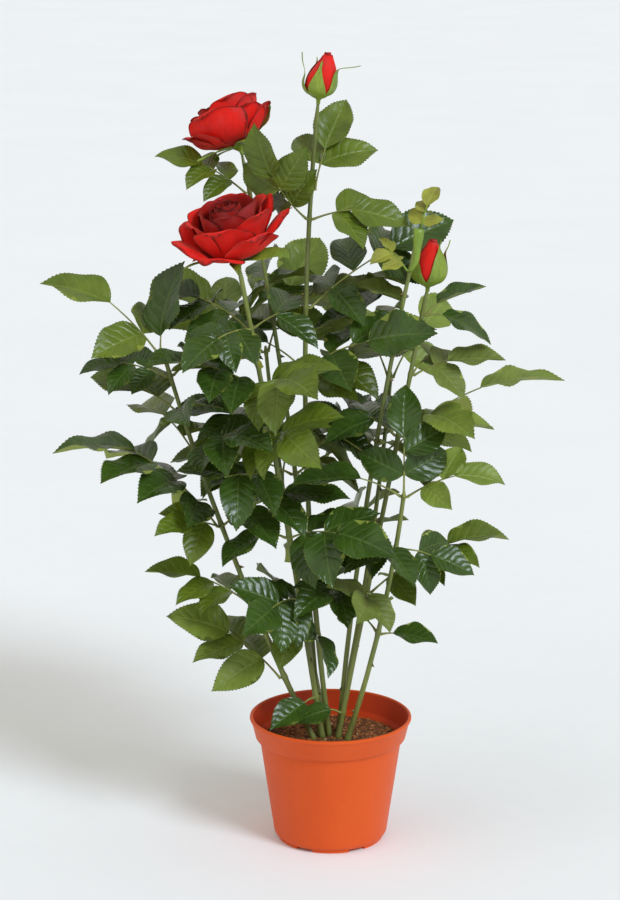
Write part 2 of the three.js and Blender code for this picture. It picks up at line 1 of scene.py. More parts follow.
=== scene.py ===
# Rose bush in a flower pot: leaves, petals, canes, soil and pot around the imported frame.
# Pieces are worked out in millimetres, +Z up, and scaled to metres when they are finished.
import random
from math import copysign, cos, exp, pi, radians, sin

import bmesh
import bpy
from mathutils import Matrix, Quaternion, Vector, kdtree, noise


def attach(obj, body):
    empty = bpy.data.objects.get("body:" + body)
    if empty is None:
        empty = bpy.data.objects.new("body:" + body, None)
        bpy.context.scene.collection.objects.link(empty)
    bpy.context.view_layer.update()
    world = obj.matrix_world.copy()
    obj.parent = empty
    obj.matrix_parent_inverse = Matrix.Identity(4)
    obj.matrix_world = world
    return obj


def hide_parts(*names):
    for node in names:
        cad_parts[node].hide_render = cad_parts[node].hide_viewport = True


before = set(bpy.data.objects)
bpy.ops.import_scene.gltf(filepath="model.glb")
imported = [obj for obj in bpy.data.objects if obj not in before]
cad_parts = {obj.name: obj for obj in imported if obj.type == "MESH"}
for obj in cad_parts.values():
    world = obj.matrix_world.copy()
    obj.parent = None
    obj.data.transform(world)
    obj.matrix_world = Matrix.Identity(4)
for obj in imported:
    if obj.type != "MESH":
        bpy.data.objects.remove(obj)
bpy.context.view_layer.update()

mm = 0.001
up = Vector((0, 0, 1))
print("frame:", len(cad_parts), "nodes")

# small helpers


def lerp(a, b, share):
    return a + (b - a) * share


def smooth(low, high, value):
    share = max(0.0, min(1.0, (value - low) / (high - low)))
    return share * share * (3 - 2 * share)


def table(rows, share):
    # a soft curve through (share, value) rows; a value may be a number or a vector
    last = len(rows) - 1
    i = 0
    while i < last - 1 and share > rows[i + 1][0]:
        i += 1
    start, end = rows[i], rows[i + 1]
    before, after = rows[max(i - 1, 0)], rows[min(i + 2, last)]
    wide = end[0] - start[0]
    slopeIn = (end[1] - before[1]) * (wide / (end[0] - before[0]))
    slopeOut = (after[1] - start[1]) * (wide / (after[0] - start[0]))
    t = max(0.0, min(1.0, (share - start[0]) / wide))
    return (
        start[1] * (2 * t**3 - 3 * t**2 + 1)
        + slopeIn * (t**3 - 2 * t**2 + t)
        + end[1] * (3 * t**2 - 2 * t**3)
        + slopeOut * (t**3 - t**2)
    )


def newShape():
    bm = bmesh.new()
    bm.loops.layers.uv.new("UVMap")
    return bm


def meshOf(bm, name="part"):
    mesh = bpy.data.meshes.new(name)
    bm.to_mesh(mesh)
    bm.free()
    return mesh


def copyOf(mesh):
    bm = bmesh.new()
    bm.from_mesh(mesh)
    return bm


def facingOut(bm, material=0):
    bmesh.ops.recalc_face_normals(bm, faces=bm.faces[:])
    for face in bm.faces:
        face.material_index = material
    return bm


def sheetOf(columns, rows, place):
    # a grid whose corners go where place(across, along) says: across -1 to 1, along 0 to 1
    bm = newShape()
    bmesh.ops.create_grid(bm, x_segments=rows, y_segments=columns, size=1, calc_uvs=True)
    for vert in bm.verts:
        vert.co = place(vert.co.y, (vert.co.x + 1) / 2)
    return bm


def thickSheet(columns, rows, place, thickness, material):
    bm = sheetOf(columns, rows, place)
    bmesh.ops.solidify(bm, geom=bm.faces[:], thickness=thickness)
    return facingOut(bm, material)


def tubeOf(sides, rings, place, material=0):
    # a rolled grid: place(angle, along) gives a corner; the seam is welded and both ends are filled
    bm = sheetOf(sides, rings, lambda across, along: place(across * pi, along))
    bmesh.ops.remove_doubles(bm, verts=bm.verts[:], dist=0.003)
    rims = [edge for edge in bm.edges if edge.is_boundary]
    if rims:
        bmesh.ops.holes_fill(bm, edges=rims, sides=sides + 1)
    return facingOut(bm, material)


def addTo(bm, part):
    mesh = meshOf(part)
    bm.from_mesh(mesh)
    bpy.data.meshes.remove(mesh)


def addObject(name, data):
    made = bpy.data.objects.new(name, data)
    bpy.context.scene.collection.objects.link(made)
    return made


def finishPiece(bm, name, materials, nodes=(), sharp=None):
    bmesh.ops.scale(bm, vec=(mm, mm, mm), verts=bm.verts[:])
    mesh = meshOf(bm, name)
    for material in materials:
        mesh.materials.append(material)
    mesh.shade_smooth()
    if sharp:
        mesh.set_sharp_from_angle(angle=radians(sharp))
    piece = addObject(name, mesh)
    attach(piece, "root")
    if nodes:
        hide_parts(*nodes)
    return piece


# shader helpers


def addNode(tree, kind, **settings):
    made = tree.nodes.new("ShaderNode" + kind)
    for name, value in settings.items():
        setattr(made, name, value)
    return made


def feed(tree, socket, value):
    # a number or colour is set on the socket, an output is joined to it
    if isinstance(value, bpy.types.NodeSocket):
        tree.links.new(value, socket)
    elif isinstance(value, tuple) and len(value) == 3 and socket.type == "RGBA":
        socket.default_value = (*value, 1)
    else:
        socket.default_value = value


def maths(tree, operation, a, b=0.0, clamped=False):
    made = addNode(tree, "Math", operation=operation, use_clamp=clamped)
    feed(tree, made.inputs[0], a)
    feed(tree, made.inputs[1], b)
    return made.outputs[0]


def remap(tree, value, low, high, newLow=0.0, newHigh=1.0):
    made = addNode(tree, "MapRange")
    for i, number in enumerate((value, low, high, newLow, newHigh)):
        feed(tree, made.inputs[i], number)
    return made.outputs[0]


def mixColour(tree, share, a, b):
    made = addNode(tree, "Mix", data_type="RGBA")
    for i, value in ((0, share), (6, a), (7, b)):
        feed(tree, made.inputs[i], value)
    return made.outputs[2]


def noiseOf(tree, vector, scale, detail=3.0, roughness=0.55):
    made = addNode(tree, "TexNoise")
    feed(tree, made.inputs["Vector"], vector)
    feed(tree, made.inputs["Scale"], scale)
    feed(tree, made.inputs["Detail"], detail)
    feed(tree, made.inputs["Roughness"], roughness)
    return made.outputs[0]


def objectSpace(tree):
    return addNode(tree, "TexCoord").outputs["Object"]


def leafSpace(tree):
    # how far a spot is from root to tip, and how far from the middle line to the margin, by the UV map
    parts = addNode(tree, "SeparateXYZ")
    feed(tree, parts.inputs[0], addNode(tree, "UVMap").outputs[0])
    offset = maths(tree, "ABSOLUTE", maths(tree, "SUBTRACT", parts.outputs[1], 0.5))
    return parts.outputs[0], maths(tree, "MULTIPLY", offset, 2.0)


def newGroup(name, inputs, outputs):
    group = bpy.data.node_groups.new(name, "ShaderNodeTree")
    for label, kind in inputs:
        group.interface.new_socket(label, in_out="INPUT", socket_type="NodeSocket" + kind)
    for label, kind in outputs:
        group.interface.new_socket(label, in_out="OUTPUT", socket_type="NodeSocket" + kind)
    return group, group.nodes.new("NodeGroupInput").outputs, group.nodes.new("NodeGroupOutput").inputs


def useGroup(tree, group, **values):
    made = addNode(tree, "Group", node_tree=group)
    for label, value in values.items():
        feed(tree, made.inputs[label], value)
    return made.outputs


def newMaterial(name, **constants):
    material = bpy.data.materials.new(name)
    material.use_nodes = True
    tree = material.node_tree
    tree.nodes.clear()
    shader = addNode(tree, "BsdfPrincipled")
    tree.links.new(shader.outputs[0], addNode(tree, "OutputMaterial").inputs[0])
    for label, value in constants.items():
        feed(tree, shader.inputs[label.replace("_", " ")], value)
    return material, tree, shader


def bump(tree, shader, height, strength, distance):
    made = addNode(tree, "Bump")
    for label, value in (("Strength", strength), ("Distance", distance), ("Height", height)):
        feed(tree, made.inputs[label], value)
    tree.links.new(made.outputs[0], shader.inputs["Normal"])


# shared effects


def mottleGroup():
    # two tones and a fine grain in object space, drawn out along Z by Stretch
    colours = [(label, "Color") for label in ("Dark", "Light")]
    numbers = [(label, "Float") for label in ("Scale", "Stretch", "Grain")]
    group, given, out = newGroup("mottle", colours + numbers, [("Colour", "Color"), ("Height", "Float")])
    stretch = addNode(group, "CombineXYZ")
    for i, value in enumerate((1.0, 1.0, given["Stretch"])):
        feed(group, stretch.inputs[i], value)
    stretched = addNode(group, "VectorMath", operation="MULTIPLY")
    feed(group, stretched.inputs[0], objectSpace(group))
    feed(group, stretched.inputs[1], stretch.outputs[0])
    wide = noiseOf(group, stretched.outputs[0], given["Scale"], 4.0)
    fine = noiseOf(group, stretched.outputs[0], given["Grain"], 2.0, 0.7)
    patches = remap(group, wide, 0.32, 0.68)
    specks = remap(group, fine, 0.3, 0.7, -0.25, 0.25)
    tone = maths(group, "ADD", patches, specks, True)
    feed(group, out["Colour"], mixColour(group, tone, given["Dark"], given["Light"]))
    feed(group, out["Height"], maths(group, "ADD", maths(group, "MULTIPLY", wide, 0.4), fine))
    return group


def veinGroup():
    # a leaf's midrib and side veins
    group, given, out = newGroup(
        "leafVeins",
        [("Blade", "Color"), ("Shade", "Color"), ("Vein", "Color"), ("Pairs", "Float"), ("Clear", "Float")],
        [("Colour", "Color"), ("Height", "Float")],
    )
    along, aside = leafSpace(group)
    where = objectSpace(group)
    wander = remap(group, noiseOf(group, where, 90.0, 2.0), 0.3, 0.7, -0.16, 0.16)
    slant = maths(group, "ADD", maths(group, "MULTIPLY", aside, -1.7), wander)
    phase = maths(group, "ADD", maths(group, "MULTIPLY", along, given["Pairs"]), slant)
    saw = maths(group, "ABSOLUTE", maths(group, "SUBTRACT", maths(group, "FRACT", phase), 0.5))
    near = maths(group, "MULTIPLY", saw, 2.0)
    side = maths(group, "MULTIPLY", remap(group, near, 0.8, 1.0), remap(group, aside, 0.3, 1.0, 0.75, 0.1))
    rib = remap(group, aside, 0.03, 0.09, 1.0, 0.0)
    veins = maths(group, "MAXIMUM", side, rib)
    patch = remap(group, noiseOf(group, where, 45.0, 3.0), 0.35, 0.65)
    blade = mixColour(group, patch, given["Shade"], given["Blade"])
    shown = maths(group, "MULTIPLY", veins, given["Clear"])
    feed(group, out["Colour"], mixColour(group, shown, blade, given["Vein"]))
    bulge = maths(group, "SUBTRACT", 1.0, maths(group, "POWER", near, 2.5))
    cloth = maths(group, "MULTIPLY", noiseOf(group, where, 1400.0, 2.0), 0.22)
    feed(group, out["Height"], maths(group, "SUBTRACT", maths(group, "ADD", bulge, cloth), rib))
    return group


def petalGroup():
    # a petal's fine ribs, its painted shade towards the foot, its painted sheen patches near the lip and its
    # dark margin
    group, given, out = newGroup(
        "petalFace",
        [("Face", "Color"), ("Foot", "Color"), ("Margin", "Color"), ("PaintedSheenPatch", "Color"), ("Lip", "Float")],
        [("Colour", "Color"), ("Height", "Float")],
    )
    along, aside = leafSpace(group)
    spread = addNode(group, "Mapping")
    feed(group, spread.inputs["Vector"], addNode(group, "UVMap").outputs[0])
    spread.inputs["Scale"].default_value = (2.2, 26, 1)
    ribs = noiseOf(group, spread.outputs[0], 1.6, 4.0)
    where = objectSpace(group)
    cloud = noiseOf(group, where, 70.0, 3.0)
    # painted shade: darker towards the petal's foot, deep in the cup; the fine ribs take the same darker
    # tone
    low = remap(group, along, 0.1, 0.6, 0.75, 0.0)
    ribbed = remap(group, ribs, 0.42, 0.7, 0.0, 0.28)
    face = mixColour(group, maths(group, "ADD", low, ribbed, True), given["Face"], given["Foot"])
    face = mixColour(group, remap(group, cloud, 0.45, 0.75, 0.0, 0.25), face, given["Margin"])
    # painted sheen: pinkish-grey patches near the lip stand in for sheen on the bends
    patches = remap(group, noiseOf(group, where, 38.0, 2.0), 0.5, 0.66, 0.0, 0.42)
    nearLip = remap(group, along, 0.5, 0.85)
    face = mixColour(group, maths(group, "MULTIPLY", patches, nearLip), face, given["PaintedSheenPatch"])
    rough = remap(group, noiseOf(group, where, 260.0, 2.0), 0.3, 0.7, -0.03, 0.03)
    lip = remap(group, maths(group, "ADD", along, rough), given["Lip"], 1.0)
    edge = remap(group, maths(group, "ADD", aside, rough), 0.9, 1.0)
    feed(group, out["Colour"], mixColour(group, maths(group, "MAXIMUM", lip, edge), face, given["Margin"]))
    feed(group, out["Height"], maths(group, "ADD", maths(group, "MULTIPLY", ribs, 0.8), cloud))
    return group


mottle, veins, petalFace = mottleGroup(), veinGroup(), petalGroup()

# finishes

leafTones = {
    # blade, its shaded patches, veins, roughness
    "leafDeep": ((0.043, 0.090, 0.010), (0.028, 0.060, 0.007), (0.090, 0.150, 0.028), 0.25),
    "leafMid": ((0.124, 0.180, 0.014), (0.084, 0.130, 0.010), (0.186, 0.246, 0.036), 0.33),
    "leafFresh": ((0.196, 0.270, 0.036), (0.144, 0.208, 0.027), (0.265, 0.330, 0.068), 0.44),
    "leafOlive": ((0.168, 0.216, 0.036), (0.118, 0.158, 0.026), (0.235, 0.280, 0.066), 0.54),
}
undersideTones = {
    "undersideDeep": ((0.126, 0.160, 0.026), (0.092, 0.122, 0.020), (0.185, 0.215, 0.050), 0.62),
    "undersideGreen": ((0.236, 0.288, 0.048), (0.180, 0.230, 0.038), (0.300, 0.350, 0.086), 0.68),
    "undersidePale": ((0.310, 0.362, 0.080), (0.250, 0.308, 0.062), (0.380, 0.420, 0.120), 0.72),
}
youngTones = {
    "leafYoung": ((0.330, 0.350, 0.042), (0.205, 0.215, 0.030), (0.430, 0.420, 0.090), 0.48),
    "undersideYoung": ((0.360, 0.380, 0.070), (0.260, 0.270, 0.050), (0.460, 0.450, 0.110), 0.6),
}
leafFinishLook = {
    # strength of the relief, specular level
    "top": (0.45, 0.42),
    "underside": (0.3, 0.18),
    "young": (0.35, 0.35),
    "veinPairs": 7.0,
    "veinClear": 0.6,
    "wear": 0.08,  # how far the roughness wanders
    "depth": 0.0008,
}


def leafFinish(name, row, relief, shine):
    blade, shade, vein, roughness = row
    pairs, clearness, wear = (leafFinishLook[part] for part in ("veinPairs", "veinClear", "wear"))
    material, tree, shader = newMaterial(name, IOR=1.46, Specular_IOR_Level=shine)
    look = useGroup(tree, veins, Blade=blade, Shade=shade, Vein=vein, Pairs=pairs, Clear=clearness)
    feed(tree, shader.inputs["Base Color"], look["Colour"])
    worn = remap(tree, noiseOf(tree, objectSpace(tree), 60.0), 0.3, 0.7, -wear, wear)
    feed(tree, shader.inputs["Roughness"], maths(tree, "ADD", worn, roughness))
    bump(tree, shader, look["Height"], relief, leafFinishLook["depth"])
    return material


def leafFinishes(tones, part):
    return [leafFinish(name, row, *leafFinishLook[part]) for name, row in tones.items()]


topFinishes = leafFinishes(leafTones, "top")
undersideFinishes = leafFinishes(undersideTones, "underside")
youngFinishes = leafFinishes(youngTones, "young")

skins = {
    # dark, light, scale, stretch along Z, grain, roughness, relief and its depth, and a specular level
    "caneSkin": ((0.105, 0.130, 0.028), (0.225, 0.265, 0.058), 28.0, 0.16, 420.0, 0.5, 0.35, 0.0005),
    "thornSkin": ((0.120, 0.100, 0.030), (0.210, 0.160, 0.050), 120.0, 0.5, 600.0, 0.45, 0.2, 0.0003),
    "leafStemSkin": ((0.150, 0.155, 0.035), (0.300, 0.330, 0.070), 36.0, 0.7, 500.0, 0.5, 0.25, 0.0004),
    "youngShootSkin": ((0.140, 0.240, 0.020), (0.290, 0.400, 0.040), 30.0, 0.3, 400.0, 0.42, 0.25, 0.0004),
    "sepalSkin": ((0.115, 0.200, 0.016), (0.270, 0.350, 0.032), 60.0, 0.35, 700.0, 0.5, 0.3, 0.0004),
    "potPlastic": ((0.640, 0.080, 0.010), (0.720, 0.100, 0.014), 14.0, 0.5, 900.0, 0.46, 0.10, 0.0003, 0.22),
    # potInsideShade: a darker, deeper red copy of the pot's plastic, painted shade on the inner wall
    "potInsideShade": ((0.520, 0.040, 0.006), (0.600, 0.052, 0.008), 14.0, 0.5, 900.0, 0.5, 0.10, 0.0003, 0.2),
    "coirBed": ((0.095, 0.030, 0.008), (0.270, 0.090, 0.021), 90.0, 1.0, 900.0, 0.92, 0.8, 0.0015),
    "coirChip": ((0.260, 0.088, 0.019), (0.410, 0.155, 0.038), 160.0, 1.0, 1500.0, 0.85, 0.5, 0.0006),
    "coirDark": ((0.065, 0.021, 0.007), (0.160, 0.055, 0.017), 160.0, 1.0, 1500.0, 0.9, 0.5, 0.0006),
    "coirPale": ((0.440, 0.240, 0.100), (0.620, 0.400, 0.200), 160.0, 1.0, 1500.0, 0.85, 0.4, 0.0006),
    "paperFloor": ((0.865, 0.885, 0.900), (0.885, 0.905, 0.920), 3.0, 1.0, 40.0, 0.85, 0.02, 0.001, 0.1),
}


def mottledFinish(name, dark, light, scale, stretch, grain, roughness, relief, depth, shine=0.5):
    material, tree, shader = newMaterial(name, Specular_IOR_Level=shine)
    look = useGroup(tree, mottle, Dark=dark, Light=light, Scale=scale, Stretch=stretch, Grain=grain)
    feed(tree, shader.inputs["Base Color"], look["Colour"])
    worn = remap(tree, look["Height"], 0.3, 1.1, roughness + 0.1, roughness - 0.1)
    feed(tree, shader.inputs["Roughness"], worn)
    bump(tree, shader, look["Height"], relief, depth)
    return material


finishes = {name: mottledFinish(name, *row) for name, row in skins.items()}

petalTones = {
    # face, foot (painted shade towards the petal's foot, also the ribs' tone), margin, and its painted sheen
    # at a slant
    "rosePetal": ((0.79, 0.014, 0.008), (0.4, 0.006, 0.004), (0.17, 0.007, 0.005), (0.72, 0.1, 0.072)),
    # the heart's finish is a darker copy of the petal's: painted shade deep in the flower
    "roseHeartShaded": ((0.4, 0.009, 0.005), (0.17, 0.004, 0.003), (0.1, 0.006, 0.004), (0.48, 0.07, 0.052)),
}
velvet = {
    "shader": {
        "Roughness": 0.72,
        "Sheen_Weight": 0.12,
        "Sheen_Roughness": 0.5,
        "Sheen_Tint": (1.0, 0.30, 0.22),
        "Specular_IOR_Level": 0.2,
    },
    # colour of the painted sheen patches near the lip
    "paintedSheenPatch": (0.340, 0.075, 0.080),
    "lip": 0.93,  # where the dark margin of the lip begins
    "paintedSlantSheen": 0.4,  # how much lighter the painted sheen makes it where it is seen at a slant
    "blend": 0.32,
    "relief": (0.35, 0.0006),
}


# foot: painted shade towards the petal's foot, which the fine ribs share
def petalFinish(name, face, foot, margin, paintedSlantSheen):
    material, tree, shader = newMaterial(name, **velvet["shader"])
    given = {"Face": face, "Foot": foot, "Margin": margin, "PaintedSheenPatch": velvet["paintedSheenPatch"], "Lip": velvet["lip"]}
    look = useGroup(tree, petalFace, **given)
    # painted sheen: the petal colour is mixed towards a lighter tone where the surface is seen at a slant
    facing = addNode(tree, "LayerWeight")
    facing.inputs["Blend"].default_value = velvet["blend"]
    slant = remap(tree, facing.outputs["Facing"], 0.25, 1.0, 0.0, velvet["paintedSlantSheen"])
    feed(tree, shader.inputs["Base Color"], mixColour(tree, slant, look["Colour"], paintedSlantSheen))
    bump(tree, shader, look["Height"], *velvet["relief"])
    return material


petalFinishes = [petalFinish(name, *row) for name, row in petalTones.items()]
print("finishes made")

# canes: foot and tip, sideways bow halfway up, radius at foot and tip
# sprays: height of the joint, then its leaves
# leaf: the way it points, its rise, pairs of leaflets, size, and its roll where it differs

soilTop = 98.5
clear = 0.3
bush = {
    "left": {
        "foot": (-16, -6), "tip": (-155, 4, 473), "bow": (-9, 2), "radius": (2.9, 2.1),
        "sprays": [
            (160, [(182, 54, 2, 0.98, 42)]),
            (234, [(176, 38, 2, 0.74, 24), (60, 20, 2, 0.8)]),
            (307, [(184, 58, 3, 1.14, 8), (354, 44, 2, 0.96), (222, 30, 1, 0.74)]),
            (375, [(120, 34, 2, 0.96), (322, 40, 2, 0.86)]),
            (415, [(242, 30, 1, 0.8), (172, 44, 1, 0.88)]),
            (449, [(192, 30, 2, 0.66), (20, 40, 2, 0.86)]),
            (468, [(178, 56, 2, 1, 24), (52, 106, 0, 1.1, 4)]),
        ],
    },
    "front_bloom": {
        "foot": (-8, -1), "tip": (-84, -12, 554), "bow": (2, 6), "radius": (2.9, 2.3),
        "sprays": [
            (139, [(200, 6, 0, 0.72)]),
            (236, [(246, 20, 2, 0.84), (120, 25, 2, 0.85)]),
            (296, [(310, 26, 2, 0.96), (206, 26, 1, 0.9)]),
            (355, [(226, 20, 2, 0.98)]),
            (395, [(282, 22, 2, 0.96), (184, 36, 1, 0.9)]),
            (440, [(190, 34, 2, 0.92), (330, 26, 2, 0.96)]),
            (496, [(150, 36, 2, 0.84), (6, 36, 1, 0.84), (236, 10, 2, 0.7)]),
            (462, [(252, 56, 2, 0.34)], "young"),
        ],
    },
    "rear_bloom": {
        "foot": (-11, 8), "tip": (-82, 34, 651), "bow": (10, 10), "radius": (2.5, 1.9),
        "sprays": [
            (349, [(160, 24, 2, 0.96), (60, 20, 2, 0.9)]),
            (424, [(20, 34, 2, 1)]),
            (500, [(110, 30, 2, 0.92), (10, 30, 2, 0.8)]),
            (615, [(184, 40, 2, 0.7, 10)]),
        ],
    },
    "top_bud": {
        "foot": (-1, 4), "tip": (-12, 10, 702), "bow": (-17, 6), "radius": (2.8, 2.1),
        "sprays": [
            (197, [(186, 22, 2, 0.7), (280, 30, 1, 0.8)]),
            (290, [(338, 26, 2, 0.96)]),
            (374, [(350, 36, 2, 1), (90, 20, 2, 0.9)]),
            (455, [(330, 40, 2, 1.04), (190, 50, 1, 0.9)]),
            (511, [(14, 46, 3, 1)]),
            (594, [(30, 142, 2, 0.78), (346, 26, 1, 0.86)]),
            (620, [(44, 80, 1, 0.9), (150, 24, 1, 0.6)]),
        ],
    },
    "right_bud": {
        "foot": (7, -3), "tip": (88, 4, 531), "bow": (0, -2), "radius": (2.7, 2.1),
        "sprays": [
            (124, [(200, 40, 0, 0.56)]),
            (243, [(350, 44, 3, 0.92, 6), (290, 20, 1, 0.76)]),
            (393, [(0, 45, 2, 1.26, 6), (140, 44, 1, 0.9)]),
            (451, [(352, 36, 1, 0.78), (60, 30, 1, 0.8)]),
            (507, [(346, 14, 0, 0.84), (14, 54, 0, 0.8)]),
        ],
    },
    "right_front": {
        "foot": (16, -7), "tip": (67, -34, 349), "bow": (6, 0), "radius": (2.8, 2.1),
        "sprays": [
            (208, [(344, 18, 0, 0.62), (150, 30, 1, 0.7)]),
            (293, [(216, 24, 1, 0.86), (344, 6, 1, 0.7)]),
            (344, [(92, 98, 2, 0.84), (350, 36, 2, 0.7), (186, 36, 1, 0.94)]),
        ],
    },
    "young_shoot": {
        "foot": (8, 7), "tip": (79, -19, 590), "bow": (-8, 5), "radius": (2.6, 2),
        "sprays": [
            (239, [(140, 26, 2, 0.9), (224, 30, 1, 0.8)]),
            (372, [(150, 30, 2, 1), (40, 26, 2, 0.8)]),
            (474, [(160, 40, 2, 1), (70, 40, 2, 0.8)]),
            (502, [(120, 44, 2, 0.9)]),
            (551, [(192, 58, 2, 0.42)], "young"),
            (585, [(40, 84, 2, 0.38)], "young"),
        ],
    },
    "rear_left": {
        "foot": (-3, 14), "tip": (-62, 92, 459), "bow": (-6, 12), "radius": (2.6, 2),
        "sprays": [
            (333, [(84, 30, 2, 1), (200, 30, 2, 0.9)]),
            (453, [(170, 50, 2, 1), (60, 60, 2, 1)]),
        ],
    },
    "rear_right": {
        "foot": (7, 16), "tip": (58, 96, 433), "bow": (6, 12), "radius": (2.6, 2),
        "sprays": [
            (270, [(60, 22, 2, 0.95)]),
            (350, [(20, 30, 2, 0.9), (150, 30, 2, 0.9)]),
            (427, [(46, 56, 2, 0.9), (130, 60, 2, 1)]),
        ],
    },
}

caneLook = {
    "sides": 10,
    "slim": 0.94,  # of the frame's radius
    "flare": 1.35,  # at the foot
    "knot": 1.24,  # at each joint
    "knotLength": 3.0,
    "taper": (5, 0.45),  # length of the slimmer tip, and how much slimmer it is
    "bark": 0.09,
    "sink": 1.6,  # set a little into the soil
    "rings": 44,
    "jointRings": (-4, -1.6, 0, 1.6, 4),
    "footRings": [0.006, 0.014],
    "shares": [0, 0.03, 0.2, 0.4, 0.6, 0.8, 1],  # where the frame's stretches meet
}
thornLook = {
    "length": 4.2,
    "spread": (0.7, 1.1),
    "radius": (1.5, 0.12),
    "wide": 0.8,
    "long": 1.5,
    "hook": 1.6,
    "root": 0.4,
    "step": 58,  # roughly, from one thorn to the next
    "clear": 9,  # from a joint
}


def canePoint(cane, share):
    foot = Vector((*cane["foot"], soilTop + clear))
    tip = Vector(cane["tip"])
    middle = (foot + tip) / 2 + Vector((2 * cane["bow"][0], 2 * cane["bow"][1], 0))
    return foot * (1 - share) ** 2 + middle * (2 * share * (1 - share)) + tip * share**2


def caneAlong(cane, share):
    return (canePoint(cane, min(share + 0.002, 1)) - canePoint(cane, max(share - 0.002, 0))).normalized()


def shareAt(cane, height):
    low = soilTop + clear
    return (height - low) / (cane["tip"][2] - low)


def placeOnCane(cane, height):
    # the middle of the frame's straight stretch there, with its direction and radius
    share = shareAt(cane, height)
    shares = caneLook["shares"]
    following = next(i for i, one in enumerate(shares) if one >= share)
    before, after = shares[following - 1], shares[following]
    start, end = canePoint(cane, before), canePoint(cane, after)
    return {
        "point": start.lerp(end, (share - before) / (after - before)),
        "along": (end - start).normalized(),
        "radius": lerp(*cane["radius"], share),
        "axis": canePoint(cane, share),
    }


def caneFrame(cane, share):
    along = caneAlong(cane, share)
    side = Vector((0, 1, 0)).cross(along).normalized()
    return canePoint(cane, share), side, side.cross(along), along


def cane(cane, number):
    joints = [shareAt(cane, row[0]) for row in cane["sprays"]]
    length = (Vector(cane["tip"]) - canePoint(cane, 0)).length
    even = [i / caneLook["rings"] for i in range(caneLook["rings"] + 1)]
    close = [j + d / length for j in joints for d in caneLook["jointRings"] if j + d / length < 1]
    shares = sorted(even + close + caneLook["footRings"])
    top = len(shares) - 1
    tipLength, slimmer = caneLook["taper"]

    def put(angle, along):
        share = shares[round(along * top)]
        middle, side, front, _ = caneFrame(cane, share)
        radius = lerp(*cane["radius"], share) * caneLook["slim"]
        radius *= 1 + (caneLook["flare"] - 1) * exp(-share * length / 6)
        knots = sum(exp(-(((share - j) * length / caneLook["knotLength"]) ** 2)) for j in joints)
        radius *= 1 + (caneLook["knot"] - 1) * min(knots, 1)
        radius *= 1 - slimmer * smooth(length - tipLength, length, share * length)
        out = side * cos(angle) + front * sin(angle)
        bark = noise.noise(Vector((out.x * 1.4, out.y * 1.4, share * length / 26 + number * 7)))
        if share == 0:
            middle = middle - up * caneLook["sink"]
        return middle + out * radius * (1 + caneLook["bark"] * bark)

    return tubeOf(caneLook["sides"], top, put), length, joints


def thorn(middle, out, along, length):
    bm = newShape()
    low, top = thornLook["radius"]
    bmesh.ops.create_cone(bm, cap_ends=True, segments=6, radius1=low, radius2=top, depth=length)
    for vert in bm.verts:
        high = vert.co.z + length / 2
        share = high / length
        down = vert.co.x * thornLook["long"] - thornLook["hook"] * share**2
        spot = along * down + out.cross(along) * (vert.co.y * thornLook["wide"])
        vert.co = middle + spot + out * (high - thornLook["root"])
    return facingOut(bm, 1)


canes = newShape()
for number, (name, row) in enumerate(bush.items()):
    part, length, joints = cane(row, number)
    addTo(canes, part)
    draw = random.Random(40 + number)
    height = draw.uniform(22, 50)
    while height < length - 50:
        share = height / length
        if all(abs(share - j) * length > thornLook["clear"] for j in joints):
            middle, side, front, along = caneFrame(row, share)
            angle = draw.uniform(0, 2 * pi)
            out = side * cos(angle) + front * sin(angle)
            radius = lerp(*row["radius"], share) * caneLook["slim"]
            size = thornLook["length"] * draw.uniform(*thornLook["spread"])
            addTo(canes, thorn(middle + out * radius * 0.9, out, along, size))
        height += thornLook["step"] * draw.uniform(0.6, 1.4)
caneNodes = ["cane_" + name for name in bush]
finishPiece(canes, "canes", [finishes["caneSkin"], finishes["thornSkin"]], caneNodes)
print("canes:", len(bush))

# compound leaves, grown again by the frame's rule

spray = {
    "stalk": 27,  # bare stem before the first pair
    "gap": 25,
    "end": 16,
    "radius": (1.35, 0.85),  # of the frame's stem
    "slim": 0.74,  # of that, for the stem shown
    "rise": (-3, 3),  # degrees, as are the rest, added by chance
    "sag": 22,
    "sagging": (0.7, 1.2),
    "roll": 26,
    "rolling": (-20, 20),
    "pairAngle": [82, 66, 54],
    "pairSize": [0.7, 0.84, 0.88],
    "way": (-6, 6),
    "drop": (2, 26),
    "endDrop": (-2, 18),
    "louvre": 17,
    "louvring": (-12, 12),
    "turns": [0, 7, -7, 14, -14, 21, -21, 30, -30, 40, -40],
    "joint": (1.5, 0.3),  # length and swelling of a joint
    "clasp": 5,  # length over which the stem widens towards the cane
    "rootRings": {0, 2.5, 6, 10},
}
leaf = {
    "length": 68,
    "width": 0.65,
    "thick": 0.5,
    "lengths": (0.92, 1.08),
    "widths": (0.92, 1.06),
    "curl": (12, 42),
    "fold": (8, 24),
    "rows": [0, 0.07, 0.19, 0.33, 0.47, 0.61, 0.75, 0.88, 1],  # grid lines from root to tip
    "outline": [
        (0, 0), (0.05, 0.36), (0.13, 0.68), (0.26, 0.95), (0.4, 1.03),
        (0.56, 0.95), (0.72, 0.7), (0.85, 0.38), (0.94, 0.13), (1, 0),
    ],
    "toothDepth": 0.05,
    "toothLean": 0.008,
    "teeth": 5,  # corners added to each stretch of margin
    "camber": 0.10,
    "wave": 0.13,
    "twist": 10,  # degrees, at most, towards the tip
    "midrib": 1.7,  # it stands out underneath, by this much of the thickness
    "sharp": 100,  # keeps the top and the underside from shading into each other at the margin
}


def seeded(seed):
    state = (seed * 2654435761) % 4294967296

    def draw():
        nonlocal state
        state = (state * 1664525 + 1013904223) % 4294967296
        return state / 4294967296

    return draw


def between(draw, low, high):
    return low + (high - low) * draw()


def turned(vector, axis, angle):
    return Quaternion(axis, angle) @ vector


